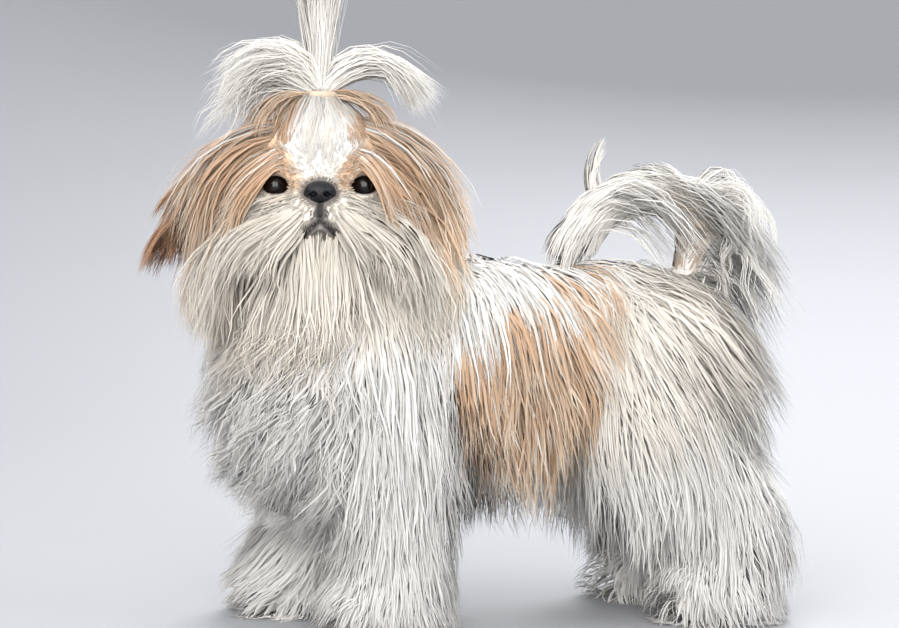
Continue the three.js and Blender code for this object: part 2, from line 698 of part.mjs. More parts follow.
function tail({ from, to }, locks, grow) {
  const along = 6;
  const core = solid(
    reshape(seamless(new THREE.CapsuleGeometry(1, along, 2, 8, along)), (v) => {
      const s = clamp(v.y, -along / 2, along / 2);
      const { at, ahead, across, out } = tailFrame(mix(from, to, s / along + 0.5));
      const flatEnd = Math.sign(v.y) * (from > 0 ? v.y > 0 : v.y < 0);
      const radius = TAIL_R + grow;
      return at
        .addScaledVector(across, v.x * radius)
        .addScaledVector(ahead, (v.y - s) * (Math.abs(flatEnd) ? radius : GAP + grow))
        .addScaledVector(out, v.z * radius);
    }),
  );
  return join([core, ...grown(locks, grow)]);
}

const ball = (centre, grow) =>
  solid(seamless(new THREE.SphereGeometry(EYE_R + grow, 14, 9)).translate(centre.x, centre.y, centre.z));

// Each node is made at its own size and a gap larger, and the larger one is cut from the nodes after it
const withLocks = (name, locks, make) => [name, (grow) => make(locks, grow)];
const makers = [
  ['eye_left', (grow) => ball(eyeAt(LEFT), grow)],
  ['eye_right', (grow) => ball(eyeAt(RIGHT), grow)],
  ['nose', noseSolid],
  withLocks('head', headLocks(), head),
  ['hair_band', bandSolid],
  withLocks('topknot', plumeLocks(), plume),
  ...Object.entries(FALLS).map(([name, shape]) =>
    withLocks(name, fallLocks(shape), (locks, grow) => fall(shape, locks, grow))),
  ...Object.entries(EAR_SHAPES).map(([name, shape]) =>
    withLocks(name, earLocks(shape), (locks, grow) => ear(shape, locks, grow))),
  withLocks('neck', neckLocks(), (locks, grow) => join([neck(grow), ...grown(locks, grow)])),
  ...Object.entries(TAILS).map(([name, shape]) =>
    withLocks(name, tailLocks(shape), (locks, grow) => tail(shape, locks, grow))),
  withLocks('torso', torsoLocks(), (locks, grow) => join([trunk(grow), ...grown(locks, grow)])),
  ...Object.entries(legs).map(([name, shape]) =>
    withLocks(name, legLocks(shape), (locks, grow) =>
      join([leg(shape, grow), ...grown(locks, grow)]).trimByPlane([0, 0, 1], 0))),
];

const largest = (bodies) => bodies.sort((a, b) => b.volume() - a.volume())[0];

// Cutting can leave a scrap on a hair-thin bridge, which parts after near vertices are merged a few times
const PASSES = 4;
function tidied(made) {
  let kept = made;
  for (let pass = 0; pass < PASSES; pass++) {
    kept = largest(solid(mergeVertices(geometryOf(kept).toNonIndexed(), SEAM)).decompose());
  }
  return kept;
}

const looks = {
  eye: { color: 0x0a0807, roughness: 0.08 },
  nose: { color: 0x15161c, roughness: 0.35 },
  white: { color: 0xe6e2dc, roughness: 0.75 },
  tan: { color: 0xc39a72, roughness: 0.75 },
  band: { color: 0xe4dccb, roughness: 0.5 },
};
const lookOf = (name) => {
  if (name.startsWith('eye')) return looks.eye;
  if (name === 'nose') return looks.nose;
  if (name === 'hair_band') return looks.band;
  return name.startsWith('ear') ? looks.tan : looks.white;
};

const solids = new Map();
const taken = [];
for (const [name, make] of makers) {
  const raw = make(0);
  solids.set(name, largest((taken.length ? raw.subtract(join(taken)) : raw).decompose()));
  taken.push(make(GAP));
}

// The origin is on the floor under the middle of the dog's box
const { min, max } = join([...solids.values()]).boundingBox();
const centring = [-(min[0] + max[0]) / 2, -(min[1] + max[1]) / 2, 0];

const dog = new THREE.Group();
for (const [name, made] of solids) {
  const mesh = new THREE.Mesh(
    geometryOf(tidied(made.translate(centring))),
    new THREE.MeshStandardMaterial({ ...lookOf(name), metalness: 0 }),
  );
  mesh.name = name;
  dog.add(mesh);
}

export default dog;
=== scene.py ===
"""The look of a standing Shih Tzu: skin, long coat, eyes, nose and a plain studio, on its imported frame.

Lengths are in millimetres in the solids' own frame until a mesh is made. Points are rows of numpy arrays.
"""
import math

import bpy
import numpy as np
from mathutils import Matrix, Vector, kdtree


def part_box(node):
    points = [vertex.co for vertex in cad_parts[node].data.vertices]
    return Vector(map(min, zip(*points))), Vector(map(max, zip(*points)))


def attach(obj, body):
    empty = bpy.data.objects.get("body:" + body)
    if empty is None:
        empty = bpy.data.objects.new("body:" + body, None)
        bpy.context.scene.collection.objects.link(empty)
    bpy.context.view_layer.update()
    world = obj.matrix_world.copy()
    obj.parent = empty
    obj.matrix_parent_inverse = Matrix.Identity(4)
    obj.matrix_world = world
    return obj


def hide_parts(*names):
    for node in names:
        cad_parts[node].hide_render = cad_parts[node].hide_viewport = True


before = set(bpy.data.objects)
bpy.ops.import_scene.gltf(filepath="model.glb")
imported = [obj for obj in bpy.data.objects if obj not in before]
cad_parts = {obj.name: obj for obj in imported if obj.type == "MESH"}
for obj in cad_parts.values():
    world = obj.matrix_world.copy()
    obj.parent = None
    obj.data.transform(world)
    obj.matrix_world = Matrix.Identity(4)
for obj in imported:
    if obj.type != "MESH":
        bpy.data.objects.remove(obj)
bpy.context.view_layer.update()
rng = np.random.default_rng(7)

# Driving sizes, the same as the solids'
WITHERS = 233
TRUNK_LENGTH = 300
CHEST_DEPTH = 122
CHEST_FLATNESS = 0.86
HEAD_TURN = 81.3
NOSE_HEIGHT = 281
EYE_R = 9.5
EYE_SPREAD = 28
BLEND = 5

CHEST_R = CHEST_DEPTH / 2
LOIN_R = CHEST_R * 0.8
SPINE_Z = WITHERS - CHEST_R
BREAST_X = -0.46 * TRUNK_LENGTH
RUMP_X = BREAST_X + TRUNK_LENGTH
HIP_X = RUMP_X - 42
SKULL_Z = NOSE_HEIGHT + 11
LEFT, RIGHT = -1, 1
UP = np.array([0.0, 0.0, 1.0])


def vec(x, y, z):
    return np.array([x, y, z], float)


def mix(a, b, t):
    return a + (b - a) * t


def smooth(low, high, v):
    t = np.clip((v - low) / (high - low), 0, 1)
    return t * t * (3 - 2 * t)


def unit(v):
    return v / np.maximum(np.linalg.norm(v, axis=-1, keepdims=True), 1e-9)


def dot(a, b):
    return np.sum(a * b, axis=-1, keepdims=True)


def scatter(size, n):
    return size * (2 * rng.random(n) - 1)


# Head frame: l to the dog's left, f forward out of the face, h up from the nose
NOSE_TIP = vec(-116.5, -65, NOSE_HEIGHT)
turn = math.radians(HEAD_TURN)
FACING = vec(-math.cos(turn), -math.sin(turn), 0)
FACE_LEFT = vec(math.sin(turn), -math.cos(turn), 0)
HEAD_AXES = np.array([FACE_LEFT, FACING, UP])


def on_head(l, f, z):
    return NOSE_TIP * [1, 1, 0] + FACE_LEFT * l + FACING * f + UP * z


def head_way(l, f, z):
    """Directions given along the head's own axes."""
    return unit(np.stack(np.broadcast_arrays(l, f, z), -1).astype(float) @ HEAD_AXES)


def head_place(p):
    """How far points lie left of, in front of and above the nose."""
    return ((p - NOSE_TIP) @ HEAD_AXES.T).T


# A bone is a rounded cone of flesh from one point to another, narrowed across the body by its last value
def bone(start, end, r0, r1=None, flat=1.0):
    return start, end, r0, r0 if r1 is None else r1, flat


TRUNK = [
    bone(vec(BREAST_X + 52, 0, SPINE_Z), vec(0, 0, SPINE_Z + 2), CHEST_R - 3, CHEST_R - 4, CHEST_FLATNESS),
    bone(vec(0, 0, SPINE_Z + 2), vec(HIP_X - 30, 0, SPINE_Z + 8), CHEST_R - 5, LOIN_R, 0.9),
    bone(vec(HIP_X - 30, 0, SPINE_Z + 8), vec(HIP_X, 0, SPINE_Z + 6), LOIN_R, LOIN_R - 4, 0.95),
    bone(vec(BREAST_X + 34, 0, SPINE_Z - 12), vec(BREAST_X + 44, 0, SPINE_Z - 14), 38, 40),
]
NECK_ROOT = vec(BREAST_X + 58, 0, SPINE_Z + 30)
NECK_TOP = on_head(0, -72, SKULL_Z - 26)
NECK = [bone(NECK_ROOT, NECK_TOP, 40, 33)]


def foreleg(side, paw):
    elbow = vec(BREAST_X + 72, side * 39, 112)
    return [
        bone(vec(BREAST_X + 62, side * 33, SPINE_Z - 2), elbow, 33, 25),
        bone(elbow, vec(paw + 8, side * 41, 44), 24, 15),
        bone(vec(paw + 8, side * 41, 44), vec(paw + 2, side * 41, 16), 15, 17),
        bone(vec(paw + 2, side * 41, 15), vec(paw - 8, side * 42, 13), 17, 15),
    ]


def hindleg(side, paw):
    knee = vec(paw - 36, side * 42, 120)
    return [
        bone(vec(HIP_X - 6, side * 30, SPINE_Z + 2), knee, 42, 31),
        bone(knee, vec(paw + 14, side * 46, 64), 30, 17),
        bone(vec(paw + 14, side * 46, 64), vec(paw + 6, side * 47, 18), 16, 16),
        bone(vec(paw + 6, side * 47, 16), vec(paw - 10, side * 48, 13), 17, 15),
    ]


FORELEGS = {LEFT: foreleg(LEFT, -72), RIGHT: foreleg(RIGHT, -118)}
HINDLEGS = {LEFT: hindleg(LEFT, 146), RIGHT: hindleg(RIGHT, 132)}
LEGS = [b for leg in (*FORELEGS.values(), *HINDLEGS.values()) for b in leg]
SKULL = [
    bone(on_head(0, -62, SKULL_Z), on_head(0, -60, SKULL_Z), 43.5),
    bone(on_head(0, -48, SKULL_Z + 5), on_head(0, -47.9, SKULL_Z + 5), 32),
    bone(on_head(0, -44, NOSE_HEIGHT - 9), on_head(0, -20, NOSE_HEIGHT - 11), 26, 14),
    bone(on_head(-11, -30, NOSE_HEIGHT - 15), on_head(-9, -18, NOSE_HEIGHT - 15), 15, 10.5),
    bone(on_head(11, -30, NOSE_HEIGHT - 15), on_head(9, -18, NOSE_HEIGHT - 15), 15, 10.5),
    bone(on_head(0, -48, NOSE_HEIGHT - 24), on_head(0, -22, NOSE_HEIGHT - 26), 20, 10),
    bone(on_head(-24, -43, NOSE_HEIGHT + 4), on_head(-34, -51, NOSE_HEIGHT + 3), 12),
    bone(on_head(24, -43, NOSE_HEIGHT + 4), on_head(34, -51, NOSE_HEIGHT + 3), 12),
]


def curve_points(knots, count):
    """Points evenly spaced in value along a smooth curve through the knots."""
    knots = np.array(knots, float)
    padded = np.vstack([2 * knots[0] - knots[1], knots, 2 * knots[-1] - knots[-2]])
    out = []
    for s in np.linspace(0, len(knots) - 1 - 1e-9, count):
        i, t = int(s), s % 1
        a, b, c, d = padded[i : i + 4]
        out.append(b + 0.5 * t * (c - a + t * (2 * a - 5 * b + 4 * c - d + t * (3 * (b - c) + d - a))))
    return np.array(out)


def along_curve(knots, count, t):
    """Places and unit ways at shares t of a smooth curve kept as `count` points."""
    line = curve_points(knots, count)
    at, way = [
        np.stack([np.interp(t * (count - 1), range(count), values[:, k]) for k in range(3)], -1)
        for values in (line, np.gradient(line, axis=0))
    ]
    return at, unit(way)


TAIL_KNOTS = [
    (HIP_X + 20, 0, SPINE_Z + 40),
    (HIP_X + 30, -4, SPINE_Z + 80),
    (HIP_X + 8, -8, SPINE_Z + 106),
    (HIP_X - 28, -12, SPINE_Z + 106),
    (HIP_X - 60, -14, SPINE_Z + 84),
]
TAIL_LINE = curve_points(TAIL_KNOTS, 13)
TAIL_R = 6.5
TAIL = [bone(a, b, TAIL_R) for a, b in zip(TAIL_LINE[:-1], TAIL_LINE[1:])]
BODY = [*TRUNK, *NECK, *LEGS]
FLESH = [*BODY, *SKULL, *TAIL]


def near_bone(b, p):
    start, end, r0, r1, flat = b
    scale = np.array([1, 1 / flat, 1])
    along = (end - start) * scale
    q = (p - start) * scale
    span = along @ along
    t = np.clip(q @ along / span, 0, 1)
    return np.linalg.norm(q - t[:, None] * along, axis=1) - mix(r0, r1, t)


def from_skin(bones, p):
    """The signed distance of points from several bones, blended softly where they meet."""
    total = np.full(len(p), 1e-280)
    for b in bones:
        total += np.exp(-near_bone(b, p) / BLEND)
    return -BLEND * np.log(total)


def slope(distance, p, step=0.5):
    """How fast a distance grows at points, along each axis."""
    here = distance(p)
    rise = [distance(p + step * np.eye(3)[k]) - here for k in range(3)]
    return here, np.stack(rise, 1) / step


def out_of(bones, p):
    return unit(slope(lambda q: from_skin(bones, q), p, 1.0)[1])


def slide_out(bones, origins, way, depth):
    """Where rays from inside the flesh come `depth` above it."""
    near = np.zeros(len(origins))
    far = np.full(len(origins), 150.0)
    for _ in range(18):
        middle = (near + far) / 2
        under = from_skin(bones, origins + way * middle[:, None]) < depth
        near = np.where(under, middle, near)
        far = np.where(under, far, middle)
    return origins + way * far[:, None]


def meld(a, b, size):
    """The smaller of two distances, rounded where they meet."""
    h = np.clip(0.5 + 0.5 * (b - a) / size, 0, 1)
    return mix(b, a, h) - size * h * (1 - h)


def carve(a, b, size):
    """A distance with another form cut out of it."""
    return -meld(-a, b, size)


def grid_of(u, v):
    """Every pair of values of u and v, as two rows."""
    return [side.ravel() for side in np.meshgrid(u, v, indexing="ij")]


def grid_quads(rows, cols, rolled=False):
    """Faces over a grid of points that closes across its columns and, when rolled, across its rows."""
    i, j = np.meshgrid(np.arange(rows if rolled else rows - 1), np.arange(cols), indexing="ij")
    down, right = (i + 1) % rows, (j + 1) % cols
    corners = [i * cols + j, down * cols + j, down * cols + right, i * cols + right]
    return np.stack(corners, -1).reshape(-1, 4)


def chain(points, radius, p):
    """The distance of points from a line through several others, less a radius."""
    d = np.full(len(p), 1e9)
    for a, b in zip(points[:-1], points[1:]):
        t = np.clip((p - a) @ (b - a) / max((b - a) @ (b - a), 1e-9), 0, 1)
        d = np.minimum(d, np.linalg.norm(p - a - t[:, None] * (b - a), axis=1))
    return d - radius


def nets(distance, low, high, cell):
    """The surface where a distance is zero, as vertices and quads, with one vertex to each crossed cell."""
    axes = [np.arange(a, b + cell, cell) for a, b in zip(low, high)]
    grid = np.stack(np.meshgrid(*axes, indexing="ij"), -1)
    inside = distance(grid.reshape(-1, 3)).reshape(grid.shape[:3]) < 0
    cells = np.array(inside.shape) - 1
    full = np.zeros(cells, int)
    for i, j, k in np.ndindex(2, 2, 2):
        full += inside[i : i + cells[0], j : j + cells[1], k : k + cells[2]]
    mixed = (full > 0) & (full < 8)
    index = np.full(cells, -1)
    index[mixed] = np.arange(mixed.sum())
    at = grid[:-1, :-1, :-1][mixed] + cell / 2
    for _ in range(4):
        here, rise = slope(distance, at, cell * 0.2)
        move = here[:, None] * rise / np.maximum(dot(rise, rise), 0.2)
        at = at - np.clip(move, -cell, cell)
    quads = []
    for a in range(3):
        b, c = (a + 1) % 3, (a + 2) % 3
        first = np.take(inside, np.arange(cells[a]), axis=a)
        second = np.take(inside, np.arange(1, cells[a] + 1), axis=a)
        edge = np.argwhere(first != second)
        within = (edge[:, b] > 0) & (edge[:, c] > 0) & (edge[:, b] < cells[b]) & (edge[:, c] < cells[c])
        edge = edge[within]
        corner = []
        for back_b, back_c in ((1, 1), (0, 1), (0, 0), (1, 0)):
            q = edge.copy()
            q[:, b] -= back_b
            q[:, c] -= back_c
            corner.append(index[tuple(q.T)])
        quad = np.stack(corner, 1)
        turned = ~inside[tuple(edge.T)]
        quad[turned] = quad[turned][:, ::-1]
        quads.append(quad)
    return at, np.vstack(quads)


# Where the solids' frame lies in the pack: both eyes are whole balls, so their boxes give it.
def eye_at(side):
    return on_head(-side * EYE_SPREAD, -27, NOSE_HEIGHT + 4)


def box_middle(node):
    low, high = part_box(node)
    return np.array((low + high) / 2) * 1000


SHIFT = (box_middle("eye_left") + box_middle("eye_right") - eye_at(LEFT) - eye_at(RIGHT)) / 2
SHIFT[2] = 0


def in_frame(p):
    return (p + SHIFT) / 1000


# Colours, as linear light
WHITE = vec(0.93, 0.915, 0.885)
CREAM = vec(0.87, 0.78, 0.65)
TAN = vec(0.70, 0.465, 0.30)
RED = vec(0.54, 0.29, 0.175)
DARK = vec(0.05, 0.04, 0.038)
# Painted shade for the slit between the lips, near black
MOUTH_SLIT_SHADE = vec(0.008, 0.006, 0.006)
LEATHER = vec(0.006, 0.0065, 0.009)
LIP_HAIR = vec(0.03, 0.026, 0.028)
BAND_COLOUR = vec(0.46, 0.37, 0.28)


def spot(p, centre, size):
    """How far points lie inside a soft patch: 1 at its middle and 0 past its edge."""
    return smooth(1.25, 0.75, np.linalg.norm((p - centre) / size, axis=1))


def streaks(p, size):
    """Smooth noise from a few crossed waves."""
    q = p / size
    a = np.sin(q[:, 0] * 2.1 + 1.3 * np.sin(q[:, 2] * 1.1 + 0.7))
    b = np.sin(q[:, 1] * 1.7 + q[:, 2] * 0.9 + 1.9 * np.sin(q[:, 0] * 0.8))
    return 0.5 * (a + b)


def tan_share(p):
    """How tan the coat is where it is rooted."""
    l, f, h = head_place(p)
    wide = np.abs(l) + 2.5 * streaks(p, 7)
    blaze = mix(7, 24, smooth(8, 40, h))
    over_eyes = smooth(blaze, blaze + 8, wide) * smooth(-3, 5, h)
    beside = smooth(36, 43, wide) * smooth(-40, -24, h)
    behind = smooth(-50, -64, f) * smooth(-36, -20, h)
    on_face = np.maximum(over_eyes, np.maximum(beside, behind))
    head = smooth(72, 60, np.linalg.norm(p - on_head(0, -56, SKULL_Z), axis=1))
    saddle = spot(p, vec(14, -52, 179), vec(47, 60, 42))
    saddle = np.maximum(saddle, 0.62 * spot(p, vec(44, -30, 222), vec(26, 34, 20)))
    saddle = np.maximum(saddle, spot(p, vec(36, 58, 182), vec(56, 60, 46)))
    saddle = smooth(0.3, 0.7, saddle + 0.3 * streaks(p, 6))
    return np.where(head > 0.5, on_face, saddle)


def cream_share(p):
    """How creamy the white of the coat is where it is rooted."""
    h = head_place(p)[2]
    beard = smooth(80, 60, np.linalg.norm(p - on_head(0, -50, NOSE_HEIGHT - 10), axis=1))
    flank = spot(p, vec(95, -40, 195), vec(52, 60, 50))
    return np.clip(0.6 * beard * smooth(30, 0, h) + 0.45 * flank, 0, 1)


def markings(p, t, chance):
    """The colour of the coat from its roots p, a share t of the way to its tips."""
    tan = tan_share(p)[..., None] * np.ones_like(t)
    cream = cream_share(p)[..., None] * np.ones_like(t)
    pale = mix(WHITE, CREAM, np.clip(cream + 0.25 * chance[:, None] * (1 - t), 0, 1)[..., None])
    warm = mix(TAN, CREAM, np.clip(0.8 * smooth(0.5, 1, t) + 0.5 * (chance[:, None] - 0.5), 0, 1)[..., None])
    tan = tan * (chance < 0.97)[:, None]
    colour = mix(pale, warm, tan[..., None])
    return colour * mix(0.92, 1.04, chance)[:, None, None]


# Materials
def shader_node(made, kind, inputs, **facts):
    """A new node of a material, whose inputs are given as values or as other nodes' outputs."""
    new = made.node_tree.nodes.new("ShaderNode" + kind)
    for key, value in facts.items():
        setattr(new, key, value)
    for key, value in inputs.items():
        if isinstance(value, bpy.types.NodeSocket):
            made.node_tree.links.new(value, new.inputs[key])
        else:
            new.inputs[key].default_value = value
    return new


def material(name, roughness, specular):
    """A material in the mesh's own colours."""
    made = bpy.data.materials.new(name)
    made.use_nodes = True
    shader = made.node_tree.nodes["Principled BSDF"]
    shader.inputs["Roughness"].default_value = roughness
    shader.inputs["Specular IOR Level"].default_value = specular
    colour = shader_node(made, "Attribute", {}, attribute_name="colour")
    made.node_tree.links.new(colour.outputs["Color"], shader.inputs["Base Color"])
    return made


def grain(made, scale, strength, distance):
    """A fine bump over a material."""
    place = shader_node(made, "TexCoord", {})
    cells = shader_node(made, "TexVoronoi", {"Vector": place.outputs["Object"], "Scale": scale})
    bump = shader_node(
        made, "Bump", {"Strength": strength, "Distance": distance, "Height": cells.outputs["Distance"]}
    )
    made.node_tree.links.new(bump.outputs["Normal"], made.node_tree.nodes["Principled BSDF"].inputs["Normal"])


def hair_lines(made):
    """Lines along each tuft, as of the many hairs in it, by the tuft's own places across and along it."""
    links = made.node_tree.links
    shader = made.node_tree.nodes["Principled BSDF"]
    own_colour = shader.inputs["Base Color"].links[0].from_socket
    place = shader_node(made, "Attribute", {}, attribute_name="strand").outputs["Vector"]
    stretch = shader_node(made, "VectorMath", {0: place, 1: (1.5, 0.035, 1)}, operation="MULTIPLY").outputs[0]
    noise = shader_node(made, "TexNoise", {"Vector": stretch, "Scale": 1, "Detail": 2}).outputs["Fac"]
    limits = {"From Min": 0.3, "From Max": 0.7, "To Min": 0.92, "To Max": 1.06}
    light = shader_node(made, "MapRange", {"Value": noise, **limits}).outputs["Result"]
    shade = shader_node(made, "VectorMath", {0: own_colour, "Scale": light}, operation="SCALE")
    bump = shader_node(made, "Bump", {"Strength": 0.22, "Distance": 0.0006, "Height": noise})
    links.new(shade.outputs[0], shader.inputs["Base Color"])
    links.new(bump.outputs["Normal"], shader.inputs["Normal"])


def let_light_through(made, share):
    """Passes a share of the light on, as thin hair does, in the colour of the hair."""
    shader = made.node_tree.nodes["Principled BSDF"]
    colour = shader.inputs["Base Color"].links[0].from_socket
    through = shader_node(made, "BsdfTranslucent", {"Color": colour})
    both = shader_node(made, "MixShader", {"Fac": share, 1: shader.outputs[0], 2: through.outputs[0]})
    made.node_tree.links.new(both.outputs[0], made.node_tree.nodes["Material Output"].inputs["Surface"])


def mesh_object(name, points, faces, colours, made, slot, uv=None, **facts):
    """A smooth mesh riding on the frame, with faces of one number of corners and facts kept at its points."""
    mesh = bpy.data.meshes.new(name)
    corners = faces.shape[1]
    mesh.vertices.add(len(points))
    mesh.vertices.foreach_set("co", in_frame(points).astype(np.float32).ravel())
    mesh.loops.add(faces.size)
    mesh.loops.foreach_set("vertex_index", faces.astype(np.int32).ravel())
    mesh.polygons.add(len(faces))
    mesh.polygons.foreach_set("loop_start", np.arange(0, faces.size, corners, dtype=np.int32))
    mesh.update(calc_edges=True)
    mesh.shade_smooth()
    layer = mesh.color_attributes.new("colour", "FLOAT_COLOR", "POINT")
    rgba = np.ones((len(points), 4), np.float32)
    rgba[:, :3] = colours
    layer.data.foreach_set("color", rgba.ravel())
    for fact, values in facts.items():
        kept = mesh.attributes.new(fact, "FLOAT_VECTOR", "POINT")
        kept.data.foreach_set("vector", values.astype(np.float32).ravel())
    if uv is not None:
        chart = mesh.uv_layers.new(name="OFBake")
        chart.uv.foreach_set("vector", uv[faces.ravel()].astype(np.float32).ravel())
    mesh.materials.append(made)
    made_object = bpy.data.objects.new(name, mesh)
    bpy.context.collection.objects.link(made_object)
    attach(made_object, "root")
    return made_object


hair = material("long coat", 0.6, 0.2)
hair_lines(hair)
let_light_through(hair, 0.45)
hide = material("skin", 0.6, 0.35)
wet = material("eye", 0.05, 0.28)
leather = material("nose leather", 0.34, 0.24)
elastic = material("band", 0.55, 0.3)
grain(leather, 1400, 0.35, 0.0006)


# Skin: one surface over all the flesh, with a finer face that has lids, lips and the line of the mouth
def across_face(l, h, depth):
    """Points on the face, `depth` above the flesh, in front of places given as l and height."""
    origins = np.array([on_head(a * 0.7, -50, b) for a, b in zip(l, h)])
    return slide_out(SKULL, origins, np.tile(FACING, (len(l), 1)), depth)


MOUTH_TOP = NOSE_HEIGHT - 8
MOUTH_MIDDLE = NOSE_HEIGHT - 18.5
MOUTH_CORNER = NOSE_HEIGHT - 27.5
MOUTH_HALF = 13
spread = np.linspace(0, 1, 7)
PHILTRUM = across_face(0 * spread, mix(MOUTH_TOP, MOUTH_MIDDLE, spread), 0.2)
MOUTH_SIDES = [
    across_face(side * MOUTH_HALF * spread, mix(MOUTH_MIDDLE, MOUTH_CORNER, spread**1.5), 0.2)
    for side in (LEFT, RIGHT)
]
LID_HALF_WIDTH = 8.0
LID_RISE = 5.6
LID_THICK = 1.7


def eye_opening(side, p):
    """How far points lie outside the almond between the lids, from the front, and ahead of the eye."""
    q = (p - eye_at(side)) @ HEAD_AXES.T
    rise = LID_RISE * (1 + 0.12 * q[:, 2] / LID_RISE)
    return 6 * (np.hypot(q[:, 0] / LID_HALF_WIDTH, q[:, 2] / rise) - 1), q[:, 1]


def lip_gap(p):
    lines = [chain(line, 0, p) for line in (PHILTRUM, *MOUTH_SIDES)]
    return np.min(lines, axis=0)


def face(p):
    d = from_skin([*SKULL, *NECK], p)
    for line in MOUTH_SIDES:
        d = meld(d, chain(line + UP * 2, 1.6, p), 2.5)
        d = meld(d, chain(line - UP * 2.4, 1.4, p), 2.5)
    d = carve(d, lip_gap(p) - 0.7, 1.0)
    for side in (LEFT, RIGHT):
        from_eye = np.linalg.norm(p - eye_at(side), axis=1)
        d = meld(d, from_eye - EYE_R - LID_THICK, 5)
        almond, ahead = eye_opening(side, p)
        d = carve(d, np.maximum(almond, 2 - ahead), 0.7)
        d = np.maximum(d, EYE_R + 0.1 - from_eye)
    return d


FACE_LOW = np.array([-50, -62, -42])
FACE_HIGH = np.array([50, 6, 46])


def in_face_box(p, margin=0.0):
    q = head_place(p).T
    return np.all((q > FACE_LOW + margin) & (q < FACE_HIGH - margin), axis=1)


def face_in_head_axes(q):
    return face(q @ HEAD_AXES + NOSE_TIP)


# The soles lie this high, and the surfaces are drawn in boxes of cells of these sizes
SOLE = 0.8
BODY_LOW = (-192, -80, -3)
BODY_HIGH = (190, 76, 340)
BODY_CELL = 3.4
FACE_CELL = 0.85
NOSE_CELL = 0.5


def flesh_over_floor(p):
    return np.maximum(from_skin(FLESH, p), SOLE - p[:, 2])


body_points, body_quads = nets(flesh_over_floor, BODY_LOW, BODY_HIGH, BODY_CELL)
keep = ~np.all(in_face_box(body_points, 2.5)[body_quads], axis=1)
body_quads = body_quads[keep]
face_points, face_quads = nets(face_in_head_axes, FACE_LOW, FACE_HIGH, FACE_CELL)
face_points = face_points @ HEAD_AXES + NOSE_TIP

EAR_SHAPES = {
    LEFT: [(40, -62, 324), (70, -64, 290), (78, -64, 250)],
    RIGHT: [(40, -62, 324), (76, -62, 294), (96, -60, 262)],
}
EAR_HALF_WIDTH = 17
EAR_HALF_THICK = 2.2
EAR_CUP = 9


def ear_frame(side, t):
    """Place, way down, way forward and way out of the ear at shares t of its length."""
    at, down = along_curve([on_head(-side * l, f, z) for l, f, z in EAR_SHAPES[side]], 41, t)
    fore = unit(FACING - dot(down, FACING) * down)
    out = unit(np.cross(down, fore)) * side
    return at, down, fore, out


def ear_leaf(side):
    rows, cols = 22, 28
    a, b = grid_of(np.linspace(0, np.pi, rows), np.linspace(0, 2 * np.pi, cols, endpoint=False))
    at, _, fore, out = ear_frame(side, 0.5 - 0.5 * np.cos(a))
    x = np.sin(a) * np.cos(b)
    bulge = EAR_HALF_THICK * np.sin(a) * np.sin(b) - EAR_CUP * x * x
    points = at + fore * (EAR_HALF_WIDTH * x)[:, None] + out * bulge[:, None]
    return points, grid_quads(rows, cols)[:, ::-1]


def joined(parts):
    points, faces, start = [], [], 0
    for p, q in parts:
        points.append(p)
        faces.append(q + start)
        start += len(p)
    return np.vstack(points), np.vstack(faces)


skin_points, skin_quads = joined(
    [(body_points, body_quads), (face_points, face_quads), ear_leaf(LEFT), ear_leaf(RIGHT)]
)


def skin_colour(p):
    """The markings at the roots, with dark lids, lips and a dark rim round the nose, and painted shade along
    the slit between the lips.
    """
    colour = markings(p, np.zeros((len(p), 1)), np.full(len(p), 0.5))[:, 0]
    openings = [eye_opening(side, p) for side in (LEFT, RIGHT)]
    edge = np.min([np.abs(almond) + 3 * (ahead < 0) for almond, ahead in openings], axis=0)
    lids = smooth(2.2, 0.6, edge) * (head_place(p)[1] > -40)
    from_nose = np.linalg.norm((p - on_head(0, -9, NOSE_HEIGHT)) / [1, 1, 0.8], axis=1)
    rim = smooth(4, 1, from_nose - 11)
    from_lips = lip_gap(p)
    dark = np.max([lids, smooth(6.5, 2.5, from_lips), rim], axis=0)
    colour = mix(colour, DARK, 0.92 * dark[:, None])
    # Near black along the slit between the lips: painted shade in the carved groove
    return mix(colour, MOUTH_SLIT_SHADE, smooth(3.2, 1.6, from_lips)[:, None])


skin = mesh_object("skin", skin_points, skin_quads, skin_colour(skin_points), hide, "skin")
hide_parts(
    "head", "neck", "torso", "front_leg_left", "front_leg_right", "rear_leg_left", "rear_leg_right"
)

# Nose
NOSE_MIDDLE = on_head(0, -6.5, NOSE_HEIGHT)


def nose_form(q):
    l, f, z = q.T
    wide = 9.4 * (1 + 0.22 * z / 7.5 - 0.12 * (z / 7.5) ** 2)
    d = 6.5 * (np.sqrt((l / wide) ** 2 + (f / 7.6) ** 2 + (z / 7.3) ** 2) - 1)
    for side in (-1, 1):
        wing = np.array([(2.5, 4.0, 0.4), (6.2, 3.4, 1.6), (8.2, 0.5, -0.6)])
        d = meld(d, chain(wing * [side, 1, 1], 2.0, q), 1.6)
        nostril = np.array([(3.7, 9.5, -1.4), (4.0, 3.0, -0.8), (6.6, 4.6, -2.6), (10.5, 4.0, -4.2)])
        d = carve(d, chain(nostril * [side, 1, 1], 1.6, q), 0.9)
    crease = np.array([(0, 8.4, 2.2), (0, 8.0, -2.5), (0, 5.0, -8.5)])
    return carve(d, chain(crease, 0.45, q), 0.9)


nose_points, nose_quads = nets(nose_form, (-13, -10, -10), (13, 11, 10), NOSE_CELL)
nose = mesh_object(
    "nose_leather", nose_points @ HEAD_AXES + NOSE_MIDDLE, nose_quads[:, ::-1],
    np.tile(LEATHER, (len(nose_points), 1)), leather, "nose_leather",
)
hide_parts("nose")


